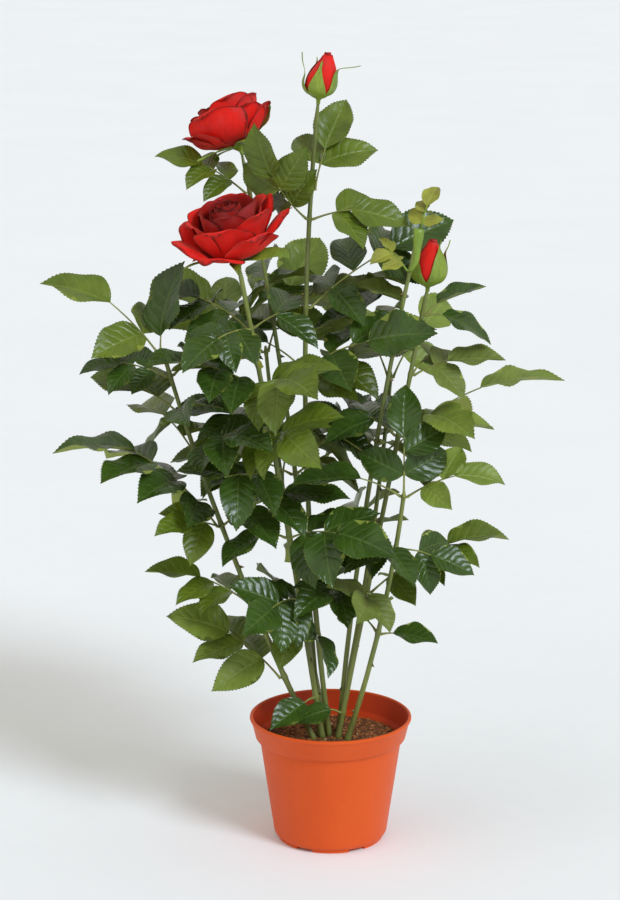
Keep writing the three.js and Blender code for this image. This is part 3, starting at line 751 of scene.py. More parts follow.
def compoundLeaf(spot, row, turn, seed):
    way, rise, pairs, size = row[:4]
    roll = row[4] if len(row) > 4 else spray["roll"]
    draw = seeded(seed)
    heading = radians(way + turn)
    flat = Vector((cos(heading), sin(heading), 0))
    outward = flat * (-1 if rise > 90 else 1)
    outward = (outward - spot["along"] * outward.dot(spot["along"])).normalized()
    side = Vector((sin(heading), -cos(heading), 0))
    length = size * (spray["stalk"] + spray["gap"] * (pairs - 1) + spray["end"])
    start = radians(rise + between(draw, *spray["rise"]))
    sag = radians(spray["sag"] * between(draw, *spray["sagging"]))
    tilt = radians(roll * copysign(1, cos(heading)) + between(draw, *spray["rolling"]))
    steepness = flat * cos(start) + up * sin(start)
    offset = clear + 0.1 + spray["radius"][0] * abs(steepness.dot(spot["along"]))
    root = spot["point"] + outward * (spot["radius"] + offset)

    def frameAt(distance):
        angle = start - sag * distance / length
        along = flat * cos(angle) + up * sin(angle)
        over = flat * -sin(angle) + up * cos(angle)
        forward = length * (sin(start) - sin(angle)) / sag
        lifted = length * (cos(angle) - cos(start)) / sag
        twist = tilt * min(1, 2 * distance / length)
        return {
            "point": root + flat * forward + up * lifted,
            "along": along,
            "side": turned(side, along, twist),
            "over": turned(over, along, twist),
            "radius": lerp(*spray["radius"], distance / length),
        }

    def leafletAt(distance, angle, share):
        here = frameAt(distance)
        sign = copysign(1, angle) if angle else 0
        way = radians(angle + between(draw, *spray["way"]))
        drop = radians(between(draw, *spray["drop" if angle else "endDrop"]))
        out = here["along"] * cos(way) + here["side"] * sin(way)
        direction = out * cos(drop) - here["over"] * sin(drop)
        normal = here["over"] * cos(drop) + out * sin(drop)
        louvre = -spray["louvre"] * sign + between(draw, *spray["louvring"])
        return {
            "distance": distance,
            "root": here["point"],
            "along": direction,
            "over": turned(normal, direction, radians(louvre)),
            "length": leaf["length"] * size * share * between(draw, *leaf["lengths"]),
            "width": leaf["width"] * between(draw, *leaf["widths"]),
            "curl": radians(between(draw, *leaf["curl"])),
            "fold": radians(between(draw, *leaf["fold"])),
        }

    leaflets = [leafletAt(length, 0, 1)]
    for pair in range(pairs - 1, -1, -1):
        for hand in (1, -1):
            kind = 3 - pairs + pair
            distance = size * (spray["stalk"] + spray["gap"] * pair)
            leaflets.append(leafletAt(distance, hand * spray["pairAngle"][kind], spray["pairSize"][kind]))
    return {"leaflets": leaflets, "frameAt": frameAt, "length": length, "size": size}


def bladePoint(leaflet, share):
    curl = leaflet["curl"]
    forward = sin(curl * share) / curl
    lifted = (cos(curl * share) - 1) / curl
    return leaflet["root"] + (leaflet["along"] * forward + leaflet["over"] * lifted) * leaflet["length"]


def cornersOf(node):
    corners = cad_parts[node].data.vertices
    tree = kdtree.KDTree(len(corners))
    for i, corner in enumerate(corners):
        tree.insert(corner.co / mm, i)
    tree.balance()
    return lambda point: tree.find(point)[2] < 0.05


def grownLeaf(isCorner, spot, row, seed):
    # the turn whose stem ends in the frame's mesh, with the leaflets whose tips are there too
    for turn in spray["turns"]:
        found = compoundLeaf(spot, row, turn, seed)
        end = found["frameAt"](found["length"])
        if isCorner(end["point"] + end["side"] * end["radius"]):
            found["leaflets"] = [one for one in found["leaflets"] if isCorner(bladePoint(one, 1))]
            return found
    return None


def leafletShape(name, seed):
    # X from root to tip, Y across in half widths, Z 0 on top and -1 on the underside
    draw = random.Random(seed)
    bm = newShape()
    rows = leaf["rows"]
    bmesh.ops.create_grid(bm, x_segments=len(rows) - 1, y_segments=4, size=1)
    for vert in bm.verts:
        vert.co.x = rows[round((vert.co.x + 1) / 2 * (len(rows) - 1))]
    margin = [edge for edge in bm.edges if all(abs(vert.co.y) > 0.99 for vert in edge.verts)]
    bmesh.ops.subdivide_edges(bm, edges=margin, cuts=leaf["teeth"])
    spots = bm.loops.layers.uv["UVMap"]
    for face in bm.faces:
        for loop in face.loops:
            loop[spots].uv = (loop.vert.co.x, loop.vert.co.y / 2 + 0.5)
    edges = {}
    for hand in (-1, 1):
        line = [vert for vert in bm.verts if abs(vert.co.y - hand) < 0.01]
        line.sort(key=lambda vert: vert.co.x)
        edges.update({vert: i for i, vert in enumerate(line)})
    for vert in bm.verts:
        share = vert.co.x
        half = table(leaf["outline"], share)
        if vert in edges:
            tooth = leaf["toothDepth"] * draw.uniform(0.7, 1.3) * smooth(0.04, 0.2, share)
            tooth *= 1 - 0.5 * smooth(0.8, 1, share)
            if edges[vert] % 2:
                half += tooth * 0.5
                vert.co.x += leaf["toothLean"] * smooth(0, 0.1, share) * (1 - smooth(0.93, 1, share))
            elif 0 < share < 1:
                half -= tooth * 0.5
        vert.co.y *= max(half, 0)
    bmesh.ops.remove_doubles(bm, verts=bm.verts[:], dist=1e-5)
    copied = bmesh.ops.duplicate(bm, geom=bm.verts[:] + bm.edges[:] + bm.faces[:])
    under = [item for item in copied["geom"] if isinstance(item, bmesh.types.BMFace)]
    bmesh.ops.reverse_faces(bm, faces=under)
    for face in under:
        face.material_index = 1
    for vert in {vert for face in under for vert in face.verts}:
        if not vert.is_boundary:
            vert.co.z = -1
    bmesh.ops.remove_doubles(bm, verts=bm.verts[:], dist=1e-5)
    return meshOf(bm, name)


leafletShapes = [leafletShape("leaflet" + str(i), 70 + i) for i in range(5)]


def leafletPart(leaflet, draw, top, underside):
    bm = copyOf(draw.choice(leafletShapes))
    along, over = leaflet["along"], leaflet["over"]
    left = over.cross(along)
    half = leaflet["width"] * leaflet["length"] / 2
    fold, curl = leaflet["fold"], leaflet["curl"]
    phase, waves = draw.uniform(0, 2 * pi), draw.uniform(1.2, 2.2)
    twist = radians(draw.uniform(-1, 1) * leaf["twist"])
    phases = {-1: draw.uniform(0, 2 * pi), 1: draw.uniform(0, 2 * pi)}
    for vert in bm.verts:
        share, across, deep = vert.co
        turn = curl * share
        lift = over * cos(turn) + along * sin(turn)
        bend = twist * share
        leftHere, lift = left * cos(bend) + lift * sin(bend), lift * cos(bend) - left * sin(bend)
        aside = abs(across)
        high = aside * sin(fold) + leaf["camber"] * 4 * min(aside, 1) * (1 - min(aside, 1))
        ripple = sin(waves * 2 * pi * share + phases[1 if across > 0 else -1])
        high += leaf["wave"] * aside**2 * ripple * smooth(0, 0.25, share)
        rib = leaf["midrib"] if aside < 0.02 else 1
        spot = bladePoint(leaflet, share) + leftHere * (across * half * cos(fold))
        vert.co = spot + lift * (high * half + deep * leaf["thick"] * rib)
    for face in bm.faces:
        face.material_index = underside if face.material_index else top
    return bm


def stemPart(found, spot, material=0):
    # from inside the cane to the end leaflet, wider where it clasps the cane and at each joint
    length, frameAt = found["length"], found["frameAt"]
    joints = sorted({one["distance"] for one in found["leaflets"]})
    jointLength, swelling = spray["joint"]
    even = {length * i / 8 for i in range(2, 9)}
    close = {j + d for j in joints for d in (-jointLength, jointLength) if j + d < length}
    steps = sorted(spray["rootRings"] | even | close)
    rings = len(steps)

    def put(angle, along):
        ring = round(along * rings)
        distance = steps[max(ring - 1, 0)]
        here = frameAt(distance)
        radius = here["radius"] * spray["slim"] * (0.75 + 0.25 * found["size"])
        radius *= 1 + swelling * sum(exp(-(((distance - j) / jointLength) ** 2)) for j in joints[:-1])
        clasp = exp(-distance / spray["clasp"])
        wide, deep = radius * (1 + 1.1 * clasp), radius * (1 + 0.5 * clasp)
        middle = here["point"] if ring else spot["axis"]
        if distance == length:
            middle = here["point"] + here["along"] * 1.0
        return middle + here["side"] * (wide * cos(angle)) + here["over"] * (deep * sin(angle))

    return tubeOf(6, rings, put, material)


youngShoot = {
    "foot": 550,
    "top": 590,
    "wide": [(0, 2.3), (0.2, 3.2), (0.55, 3.7), (0.85, 4.9), (1, 4.6)],
    "deep": 2.4,
    "ridge": 0.35,
    "upright": 4.5,  # how far its middle keeps to the right of the cane
}


def shootPart(row, material):
    # the flat pale sheath round the top of a young cane
    def put(angle, along):
        height = lerp(youngShoot["foot"], youngShoot["top"], along)
        middle, side, front, _ = caneFrame(row, min(shareAt(row, height), 1))
        middle = middle + side * (youngShoot["upright"] * (1 - along) * smooth(0, 0.3, along))
        wide = table(youngShoot["wide"], along)
        deep = youngShoot["deep"] * (1 - 0.5 * smooth(0.85, 1, along))
        ridge = 1 + youngShoot["ridge"] * exp(-((cos(angle) / 0.25) ** 2))
        return middle + side * (wide * cos(angle)) + front * (deep * ridge * sin(angle))

    return tubeOf(14, 10, put, material)


toneLook = {
    # each tone's share in the dark middle of the bush, what the painted light adds to it, and 1 if it fades
    # in the painted shade
    "top": [(0.52, -0.46, 0), (0.34, -0.12, 0), (0.08, 0.32, 1), (0.06, 0.26, 1)],
    "underside": [(0.6, -0.54, 0), (0.25, 0.14, 0), (0.15, 0.4, 1)],
    # painted light: strength, then from where to where: outwards, and to the right
    "outside": (0.75, 50, 170),
    "right": (0.6, -10, 130),
    # from where to where the painted shade begins: high up, and in the upper part to the left
    "high": (540, 600),
    "upper": (330, 420),
    "left": (-40, -110),
    "shading": 0.8,
}


def paintedLightAt(spot):
    # painted light and shade: lighter tones are dealt outside and to the right, darker ones at the top and
    # the upper left
    outside, right = toneLook["outside"], toneLook["right"]
    light = outside[0] * smooth(*outside[1:], (spot.x**2 + spot.y**2) ** 0.5)
    light += right[0] * smooth(*right[1:], spot.x)
    upperLeft = smooth(*toneLook["upper"], spot.z) * smooth(*toneLook["left"], spot.x)
    shade = max(smooth(*toneLook["high"], spot.z), upperLeft)
    return min(1, light) * (1 - toneLook["shading"] * shade), shade


def drawTone(draw, side, light, shade):
    rows = toneLook[side]
    weights = [(dark + more * light) * (1 - fades * shade) for dark, more, fades in rows]
    return draw.choices(range(len(rows)), weights=weights)[0]


leafCount = 0
seed = 0
stems, youngLeaves = newShape(), newShape()
leafNodes, youngNodes = [], []
youngStem = len(youngFinishes)  # its material comes after the young leaves' own
for caneName, row in bush.items():
    blades, bladeNodes = newShape(), []
    for number, (joint, leaves, *kind) in enumerate(row["sprays"]):
        young = bool(kind)
        node = ("sprout_" if young else "leaves_") + caneName + "_" + str(number + 1)
        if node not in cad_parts:
            seed += len(leaves)
            continue
        (youngNodes if young else bladeNodes).append(node)
        isCorner = cornersOf(node)
        spot = placeOnCane(row, joint)
        for leafRow in leaves:
            seed += 1
            found = grownLeaf(isCorner, spot, leafRow, seed)
            if not found:
                print("no leaf found for", node, leafRow)
                continue
            draw = random.Random(1000 + seed)
            # painted light and shade: each leaf's tones are dealt by where it ends in the bush
            light, shade = paintedLightAt(found["frameAt"](found["length"])["point"])
            tone = drawTone(draw, "top", light, shade)
            underTone = len(topFinishes) + drawTone(draw, "underside", light, shade)
            addTo(youngLeaves if young else stems, stemPart(found, spot, youngStem if young else 0))
            leafCount += len(found["leaflets"])
            for one in found["leaflets"]:
                if young:
                    addTo(youngLeaves, leafletPart(one, draw, 0, 1))
                else:
                    addTo(blades, leafletPart(one, draw, tone, underTone))
    leafNodes += bladeNodes
    materials = topFinishes + undersideFinishes
    finishPiece(blades, "leaves_" + caneName, materials, bladeNodes, sharp=leaf["sharp"])
addTo(youngLeaves, shootPart(bush["young_shoot"], youngStem))
materials = youngFinishes + [finishes["youngShootSkin"]]
finishPiece(youngLeaves, "young_leaves", materials, youngNodes, sharp=leaf["sharp"])
finishPiece(stems, "leaf_stems", [finishes["leafStemSkin"]], leafNodes)
print("leaflets:", leafCount, "from", seed, "leaves")

# roses and buds

flowers = {
    "rose_front": {"cane": "front_bloom", "way": 215, "lean": 14, "size": 1},
    "rose_rear": {"cane": "rear_bloom", "way": 146, "lean": 28, "size": 0.88},
    "bud_top": {"cane": "top_bud", "way": 10, "lean": 4, "size": 0.95},
    "bud_right": {"cane": "right_bud", "way": 350, "lean": 3, "size": 1},
}
roseLook = {
    # petal: way, reach and height of the lip, belly, half width, drop of the lip, roll of the sides, point
    "rose_front": {
        "height": 1.0,
        "outer": [
            (354, 59, 42, 33, 24, 2, 8, 8),
            (36, 50, 53, 31, 23, 1, 7, 8),
            (96, 45, 45, 31, 27, 3, 5, 3),
            (150, 49, 42, 32, 26, 3, 6, 4),
            (192, 56, 35, 33, 23, 3, 8, 7),
            (236, 47, 24, 35, 30, 8, 7, 2),
            (302, 47, 35, 34, 29, 6, 7, 3),
        ],
        "middle": [
            (254, 42, 47, 32, 31, 5, 4, 0),
            (320, 43, 52, 29, 26, 3, 3, 3),
            (14, 39, 56, 28, 25, 2, 3, 4),
            (82, 36, 57, 28, 26, 2, 3, 2),
            (142, 38, 53, 29, 26, 3, 3, 3),
            (202, 40, 50, 29, 25, 3, 3, 4),
        ],
    },
    "rose_rear": {
        "height": 0.94,
        "outer": [
            (182, 52, 37, 34, 24, 3, 8, 5),
            (206, 48, 32, 35, 25, 4, 6, 4),
            (240, 45, 49, 38, 41, 7, 6, 2),
            (304, 43, 42, 33, 27, 5, 6, 1),
            (350, 49, 37, 32, 25, 3, 9, 5),
            (48, 45, 46, 31, 26, 2, 6, 3),
            (112, 47, 43, 32, 26, 3, 6, 3),
        ],
        "middle": [
            (286, 35, 58, 28, 27, 5, 3, 1),
            (336, 39, 52, 29, 25, 3, 3, 3),
            (20, 38, 53, 28, 25, 2, 3, 3),
            (88, 36, 55, 28, 26, 2, 4, 2),
            (150, 38, 53, 29, 26, 3, 3, 3),
            (200, 39, 51, 29, 26, 3, 3, 3),
        ],
    },
    "inner": [
        (60, 27, 59, 24, 24, 1, 3, 2),
        (128, 26, 58, 24, 24, 1, 3, 1),
        (200, 27, 57, 24, 24, 2, 3, 2),
        (262, 28, 55, 25, 25, 2, 3, 1),
        (336, 27, 59, 24, 24, 1, 3, 2),
    ],
    "widths": [(0, 0.2), (0.25, 0.62), (0.55, 0.97), (0.75, 1), (0.9, 0.86), (1, 0.6)],
    "petal": {"grid": (12, 12), "spiral": 2.0, "wave": 3.4, "frill": 2.2, "round": 0.24},
}
heartLook = {
    "petals": 8,  # rolled into the spiral
    "belly": (7.5, 1.55),  # of the innermost, and how much wider each next one is
    "top": (60.5, 0.35),
    "turn": 137.5,
    "widths": [(0, 0.5), (0.3, 0.9), (0.6, 1), (0.85, 0.95), (1, 0.75)],
    "petal": {
        "grid": (12, 9), "spiral": 1.7, "rollDown": 1.5, "point": 1,
        "wave": 1.4, "frill": 0.8, "wrap": 4, "round": 0.12,
    },
}


def flowerPlace(row):
    bearer = bush[row["cane"]]
    along = caneAlong(bearer, 1)
    seat = Vector(bearer["tip"]) + along * (clear + 2.6 * sin(radians(row["lean"])))
    way = radians(row["way"])
    turn = Matrix.Rotation(radians(row["lean"]), 4, Vector((-sin(way), cos(way), 0)))
    return Matrix.Translation(seat) @ turn @ Matrix.Scale(row["size"], 4)


def bellSheet(line, widths, half, way, look, draw, material=0):
    # a petal or sepal round the flower's axis: line gives the radius and height of its middle by share
    shift = Vector((draw.uniform(-9, 9), draw.uniform(-9, 9), draw.uniform(-9, 9)))
    edge = {"round": 0.2, "wrap": 13, "spiral": 0, "rollOut": 0, "rollDown": 0, "point": 0, "tilt": 0}
    edge.update({"wave": 0, "frill": 0, "thick": 0.5}, **look)

    def ripple(x, y, z):
        return noise.noise(Vector((x, y, z)) + shift)

    def put(across, along):
        reach = along * (1 - edge["round"] * abs(across) ** 2.2)
        r, z = table(line, reach)
        side = across * (half * table(widths, reach)) / max(r, edge["wrap"])
        r += across * edge["spiral"]
        roll = smooth(0.5, 1, abs(across)) * smooth(0.35, 1, along)
        r += edge["rollOut"] * roll
        z -= edge["rollDown"] * roll
        z += edge["point"] * (1 - abs(across)) ** 2 * smooth(0.8, 1, along)
        z += edge["tilt"] * across * smooth(0.2, 0.5, along)
        wave = ripple(across * 1.6, along * 1.8, 0) * edge["wave"] * smooth(0.3, 1, along)
        frill = ripple(across * 5.5, along * 2, 5) * edge["frill"] * smooth(0.7, 1, along)
        r += wave + frill
        z += wave * 0.7 - frill * 0.5
        return Vector((r * cos(way + side), r * sin(way + side), z))

    return thickSheet(*edge["grid"], put, edge["thick"], material)


def rosePetal(row, draw, material):
    way, reach, top, belly, half, drop, roll, point = row
    line = [
        (0, Vector((4, 8))),
        (0.28, Vector((belly * 0.72, 13 + (top - 30) * 0.06))),
        (0.58, Vector((belly, lerp(14, top, 0.5)))),
        (0.82, Vector((lerp(belly, reach, 0.5), top - 1.5))),
        (0.93, Vector((lerp(belly, reach, 0.86), top))),
        (1, Vector((reach, top - drop))),
    ]
    look = {**roseLook["petal"], "rollOut": roll * 0.6, "rollDown": roll * 0.9, "point": point}
    return bellSheet(line, roseLook["widths"], half, radians(way), look, draw, material)


def heartPetal(i, draw):
    belly = heartLook["belly"][0] + heartLook["belly"][1] * i
    top = heartLook["top"][0] - heartLook["top"][1] * i
    line = [
        (0, Vector((3, 10))),
        (0.3, Vector((belly * 0.8, 18))),
        (0.6, Vector((belly, 34))),
        (0.88, Vector((belly * 0.86, top - 4))),
        (1, Vector((belly * 0.72 + 0.4 * i, top))),
    ]
    look = {**heartLook["petal"], "rollOut": 0.25 * i}
    half = belly * (2.2 if i < 3 else 1.6)
    # material 1 is the heart's painted shade
    return bellSheet(line, heartLook["widths"], half, radians(heartLook["turn"] * i + 20), look, draw, 1)


sepalLook = {
    "half": 6.2,
    "widths": [(0, 0.7), (0.2, 1), (0.45, 0.85), (0.75, 0.4), (1, 0.04)],
    "sheet": {"grid": (4, 9), "thick": 0.7, "wave": 1.2, "round": 0.0, "wrap": 9, "rollDown": -1.5},
    # sepal under an open rose: way, width, tilt, and its middle line
    "rose_front": [
        (344, 1.15, 4, [(4, 5), (14, 7), (26, 9), (38, 9), (50, 5)]),
        (60, 1.0, 0, [(4, 6), (14, 8), (25, 9), (33, 5), (35, 0)]),
        (128, 1.0, 0, [(4, 6), (14, 8), (26, 9), (34, 6), (38, 0)]),
        (208, 0.8, 0, [(4, 6), (14, 9), (27, 13), (40, 16), (53, 15)]),
        (270, 1.3, 0, [(4, 6), (12, 7), (20, 8), (27, 6), (30, 1)]),
    ],
    "rose_rear": [
        (4, 0.8, 2, [(4, 6), (15, 10), (27, 15), (40, 23), (47, 33)]),
        (84, 1.0, 0, [(4, 6), (14, 8), (25, 9), (33, 5), (35, 0)]),
        (150, 1.0, 0, [(4, 6), (14, 8), (26, 9), (34, 6), (38, 0)]),
        (210, 0.8, 0, [(4, 6), (14, 8), (27, 8), (40, 6), (52, 5)]),
        (290, 1.5, 0, [(4, 6), (13, 7), (22, 8), (29, 4), (33, -2)]),
    ],
    "calyx": [(0, -4), (1.9, -4), (2.1, -1), (2.7, 1.5), (6, 4.5), (8.4, 8), (8, 12), (3, 14)],
}


def evenly(points):
    last = len(points) - 1
    return [(i / last, Vector(point)) for i, point in enumerate(points)]


def cupPart(profile, material=0):
    rows = evenly(profile)

    def put(angle, along):
        r, z = table(rows, along)
        r = max(r, 0.02)
        return Vector((r * cos(angle), r * sin(angle), z))

    return tubeOf(14, 2 * len(profile), put, material)


def soften(piece):
    modifier = piece.modifiers.new("softer", "SUBSURF")
    modifier.levels = modifier.render_levels = 1


sepals = newShape()


def finishFlower(name, row, petals, green):
    matrix = flowerPlace(row)
    for shape in (petals, green):
        bmesh.ops.transform(shape, matrix=matrix, verts=shape.verts[:])
    soften(finishPiece(petals, name + "_petals", petalFinishes, [name]))
    addTo(sepals, green)


def makeRose(name, row):
    draw = random.Random(row["way"])
    look = roseLook[name]
    petals, green = newShape(), newShape()
    # the inner ring takes the second finish, the heart's painted shade
    for ring, material in ((look["outer"], 0), (look["middle"], 0), (roseLook["inner"], 1)):
        for petal in ring:
            addTo(petals, rosePetal(petal, draw, material))
    for i in range(heartLook["petals"]):
        addTo(petals, heartPetal(i, draw))
    bmesh.ops.scale(petals, vec=(1, 1, look["height"]), verts=petals.verts[:])
    addTo(green, cupPart(sepalLook["calyx"]))
    for way, wide, tilt, points in sepalLook[name]:
        sheet = {**sepalLook["sheet"], "tilt": tilt}
        half = sepalLook["half"] * wide
        addTo(green, bellSheet(evenly(points), sepalLook["widths"], half, radians(way), sheet, draw))
    finishFlower(name, row, petals, green)


budLook = {
    "profile": [(1.2, 3.5), (5.4, 4.6), (10.2, 8), (13, 15.3), (11.4, 24), (8, 33), (4.4, 40), (2.9, 44)],
    "core": [(0, 4), (7, 6), (10.5, 15), (9, 24), (6, 34), (3, 41), (0, 43)],
    "widths": [(0, 0.3), (0.3, 1), (0.55, 1), (0.8, 0.62), (1, 0.32)],
    "half": 13,
    "wound": 1.9,  # how far each petal goes round, in half widths
    "petals": [0.97, 0.93, 0.84, 0.7],  # how wide each stands, of the profile
    "petal": {
        "grid": (14, 11), "spiral": 1.3, "wrap": 2.5, "rollOut": 0.7, "rollDown": 1.8,
        "point": 1, "wave": 0.8, "frill": 0.5, "round": 0.04,
    },
    "sepalHalf": 7.4,
    "sepalHug": [(10.4, 7), (13.9, 15.5), (12.6, 25)],  # its middle line where it lies on the bud
    "sepal": {"grid": (6, 14), "thick": 0.7, "wave": 0.6, "round": 0.0, "wrap": 4, "rollOut": 0.8},
    # tipLean: how far the tip leans to the right; sepal: way, width, and its line past the bud
    "bud_top": {
        "plump": 1.25,
        "tipLean": 6,
        "calyx": [(0, -4), (1.8, -4), (2.0, -1), (2.6, 1), (4.6, 2.4), (6.6, 3.8), (6.8, 5.2), (3, 6.2)],
        "widths": [
            (0, 0.6), (0.14, 0.8), (0.28, 0.84), (0.39, 0.62),
            (0.53, 0.3), (0.64, 0.12), (0.82, 0.1), (1, 0.03),
        ],
        "sepals": [
            (260, 1.18, [(9.5, 33), (7, 36), (6, 38.5)]),
            (335, 1.1, [(13, 31), (17, 33), (24, 34.5), (31, 37)]),
            (52, 0.9, [(10, 35), (10, 40)]),
            (118, 0.9, [(10, 35), (11, 40)]),
            (188, 1.1, [(14, 31), (16, 37), (17, 45)]),
        ],
    },
    "bud_right": {
        "plump": 1.27,
        "tipLean": 2,
        "calyx": [(0, -4), (1.8, -4), (2.0, -1), (2.6, 1), (5.4, 3), (9.4, 6.4), (9.6, 9), (3, 10)],
        "widths": [(0, 0.8), (0.2, 1), (0.38, 0.94), (0.55, 0.62), (0.7, 0.2), (0.82, 0.09), (1, 0.03)],
        "sepals": [
            (312, 1.35, [(9.5, 35), (8, 40), (9, 47)]),
            (18, 0.9, [(11, 33), (13, 39), (14, 45)]),
            (86, 0.9, [(10, 35), (11, 40)]),
            (146, 0.9, [(10, 35), (11, 40)]),
            (214, 1.2, [(11, 33), (10, 38)]),
        ],
    },
}


def makeBud(name, row):
    draw = random.Random(row["way"] + 5)
    look = budLook[name]
    plump = look["plump"]
    petals, green = newShape(), newShape()
    for i, share in enumerate(budLook["petals"]):
        shrink = share * plump
        line = evenly([(r * shrink, z + i * 0.5) for r, z in budLook["profile"]])
        half = budLook["half"] * plump * budLook["wound"]
        way = radians(250 + 137 * i)
        addTo(petals, bellSheet(line, budLook["widths"], half, way, budLook["petal"], draw))
    # the bud's core takes the heart's painted shade
    addTo(petals, cupPart([(r * plump, z) for r, z in budLook["core"]], 1))
    for vert in petals.verts:
        vert.co.x += look["tipLean"] * smooth(8, 46, vert.co.z) ** 1.2
    addTo(green, cupPart([(r * (plump if r > 4 else 1), z) for r, z in look["calyx"]]))
    for way, wide, tip in look["sepals"]:
        line = evenly([(4, 3.6)] + [(r * plump, z) for r, z in budLook["sepalHug"] + tip])
        half = budLook["sepalHalf"] * wide * plump
        addTo(green, bellSheet(line, look["widths"], half, radians(way), budLook["sepal"], draw))
    for vert in green.verts:
        vert.co.x += look["tipLean"] * 0.5 * smooth(12, 46, vert.co.z)
    finishFlower(name, row, petals, green)


for name, row in flowers.items():
    make = makeRose if name in roseLook else makeBud
    make(name, row)
soften(finishPiece(sepals, "sepals", [finishes["sepalSkin"]]))
print("flowers:", len(flowers))

# pot and soil

pot = {
    "steps": 112,
    # radius and height, up the outside, over the lip and down the inside
    "profile": [
        (0, 2.6), (49.6, 2.6), (50.8, 3.0), (52.6, 4.9), (53.6, 6.6), (54, 8), (66.8, 95.6),
        (67.1, 97.4), (67.5, 98.3), (70.6, 100), (71.3, 101), (74.9, 116.2), (75.5, 117.1),
        (76.3, 117.6), (76.7, 118.6), (76.5, 120.1), (75.7, 120.8), (74.9, 121), (74.1, 120.7),
        (73.5, 119.8), (70.1, 102.6), (69.4, 101.2), (66.2, 99.6), (65.6, 98.6), (52.6, 10),
        (51, 6), (48.5, 4.6), (0, 4.6),
    ],
    "foot": (41, 50, 2.8),  # the standing ring's inner and outer radius, and its height
    "edge": 0.5,  # the bevel under the ring and the hub
    "slots": 6,
    "slotWidth": 17,
    "hub": 15,
    "inside": (98, 120),  # heights between which the inner wall shows and takes the painted shade
}


def spun(profile, steps, angle=2 * pi):
    bm = newShape()
    verts = [bm.verts.new((r, 0, z)) for r, z in profile]
    edges = [bm.edges.new(pair) for pair in zip(verts, verts[1:])]
    whole = angle > 6
    turn = {"cent": (0, 0, 0), "axis": (0, 0, 1), "angle": angle}
    bmesh.ops.spin(bm, geom=verts + edges, steps=steps, use_merge=whole, **turn)
    bmesh.ops.remove_doubles(bm, verts=bm.verts[:], dist=0.003)
    return facingOut(bm)


potShell = spun(pot["profile"], pot["steps"])
inner, outer, high = pot["foot"]
edge, hub = pot["edge"], pot["hub"]
gap = pot["slotWidth"] / outer
stretch = 2 * pi / pot["slots"] - gap
under = [(inner, edge), (inner + edge, 0), (outer - edge, 0), (outer, edge)]
for i in range(pot["slots"]):
    # one stretch of the standing ring, between two slots
    part = spun(under + [(outer, high), (inner, high), (inner, edge)], 14, stretch)
    ends = [rim for rim in part.edges if rim.is_boundary]
    bmesh.ops.holes_fill(part, edges=ends, sides=12)
    facingOut(part)
    turn = Matrix.Rotation(2 * pi * i / pot["slots"] + gap / 2, 4, "Z")
    bmesh.ops.transform(part, matrix=turn, verts=part.verts[:])
    addTo(potShell, part)
addTo(potShell, spun([(0, 0), (hub - edge, 0), (hub, edge), (hub, high), (0, high)], 40))
# painted shade: inward faces between these heights take the darker copy of the pot's plastic
for face in potShell.faces:
    spot = face.calc_center_median()
    inward = face.normal.x * spot.x + face.normal.y * spot.y < 0
    face.material_index = int(inward and pot["inside"][0] < spot.z < pot["inside"][1])
potMaterials = [finishes["potPlastic"], finishes["potInsideShade"]]
finishPiece(potShell, "flower_pot", potMaterials, ["pot"], sharp=38)

soil = {
    "radius": 64.6,
    "top": 97.4,
    "crown": 1.4,
    "bed": [(0, 4.9), (48.2, 4.9), (52, 9.8), (64.6, 94), (64.6, 97), (60, 97.4), (0, 98.5)],
    "rings": 14,
    "chips": 1500,
    "chipSize": (0.9, 2.3),
    "smallChips": (0.4, 0.5),  # how many of them, and their size against the others
    # chance of each finish, of these
    "chipKinds": {"coirChip": 0.58, "coirDark": 0.39, "coirPale": 0.03},
}


def soilHeight(x, y):
    out = (x * x + y * y) ** 0.5 / soil["radius"]
    rough = noise.noise(Vector((x, y, 3)) / 14) * 1.5 + noise.noise(Vector((x, y, 9)) / 4.5) * 0.8
    return soil["top"] + soil["crown"] * (1 - out * out) + rough * (1 - smooth(0.9, 1, out) * 0.6)


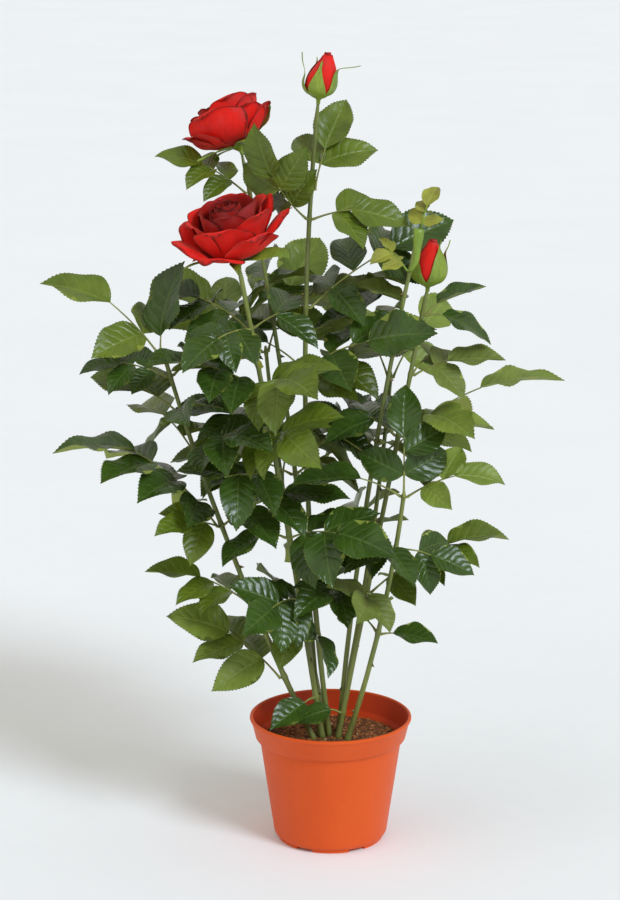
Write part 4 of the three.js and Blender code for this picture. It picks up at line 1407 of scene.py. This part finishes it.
soilBed = spun(soil["bed"], 72)
flatTop = {edge for face in soilBed.faces if face.normal.z > 0.5 for edge in face.edges}
rising = [edge for edge in flatTop if abs(edge.verts[0].co.z - edge.verts[1].co.z) > 0.2]
bmesh.ops.subdivide_edges(soilBed, edges=rising, cuts=soil["rings"], use_grid_fill=True)
for vert in soilBed.verts:
    if vert.co.z > 96.5:  # only the top
        vert.co.z = soilHeight(vert.co.x, vert.co.y)
chips = newShape()
draw = random.Random(12)
chipShapes = []
for i in range(4):
    bm = newShape()
    bmesh.ops.create_icosphere(bm, subdivisions=1, radius=1)
    for vert in bm.verts:
        vert.co *= draw.uniform(0.65, 1.25)
    chipShapes.append(meshOf(bm, "chip" + str(i)))
few, smaller = soil["smallChips"]
chipKinds = range(len(soil["chipKinds"]))
chances = list(soil["chipKinds"].values())
for i in range(soil["chips"]):
    r, angle = soil["radius"] * 0.985 * draw.random() ** 0.5, draw.uniform(0, 2 * pi)
    x, y = r * cos(angle), r * sin(angle)
    size = draw.uniform(*soil["chipSize"]) * (smaller if draw.random() < few else 1)
    part = copyOf(draw.choice(chipShapes))
    stretch = Matrix.Diagonal((size * draw.uniform(0.8, 1.7), size * draw.uniform(0.5, 0.9), size * 0.6, 1))
    turn = Matrix.Rotation(draw.uniform(0, 2 * pi), 4, "Z")
    tilt = Matrix.Rotation(draw.uniform(-0.7, 0.7), 4, "X")
    spot = Matrix.Translation((x, y, soilHeight(x, y) + 0.15))
    bmesh.ops.transform(part, matrix=spot @ (turn @ tilt) @ stretch, verts=part.verts[:])
    kind = draw.choices(chipKinds, weights=chances)[0]
    for face in part.faces:
        face.material_index = kind
    addTo(chips, part)
finishPiece(soilBed, "soil_bed", [finishes["coirBed"]], ["filling"])
finishPiece(chips, "soil_chips", [finishes[kind] for kind in soil["chipKinds"]])
print("pot and soil made,", soil["chips"], "chips")

# studio: pale floor, soft lights, camera

studio = {
    "floor": 40.0,
    "sky": (1.0, 0.965, 0.90),
    "skyStrength": 0.60,
    # where it shines from, softness in degrees, strength, colour
    "suns": [
        ((0.66, -0.74, 0.80), 20, 1.98, (0.80, 0.895, 1.0)),
        ((-0.9, -0.5, 0.9), 60, 0.35, (0.95, 0.98, 1.0)),
    ],
    "camera": (-0.0195, -2.5, 1.003),
    "pitch": 76,
    "lens": 111.2,
    "sensor": 36,
    "clip": (0.05, 100),
}

floorShape = bmesh.new()
bmesh.ops.create_grid(floorShape, x_segments=1, y_segments=1, size=studio["floor"] / 2)
floor = addObject("floor", meshOf(floorShape, "floor"))
floor.data.materials.append(finishes["paperFloor"])

world = bpy.data.worlds.new("studio")
bpy.context.scene.world = world
world.use_nodes = True
sky = world.node_tree.nodes["Background"]
sky.inputs["Color"].default_value = (*studio["sky"], 1)
sky.inputs["Strength"].default_value = studio["skyStrength"]

for i, (spot, softness, strength, colour) in enumerate(studio["suns"]):
    data = bpy.data.lights.new("sun" + str(i), "SUN")
    data.angle, data.energy, data.color = radians(softness), strength, colour
    lamp = addObject(data.name, data)
    lamp.rotation_euler = Vector(spot).to_track_quat("Z", "Y").to_euler()

view = bpy.data.cameras.new("camera")
view.lens, view.sensor_width = studio["lens"], studio["sensor"]
view.clip_start, view.clip_end = studio["clip"]
camera = addObject("camera", view)
camera.location = studio["camera"]
camera.rotation_euler = (radians(studio["pitch"]), 0, 0)
bpy.context.scene.camera = camera
bpy.context.scene.view_settings.view_transform = "Standard"
print("studio ready")
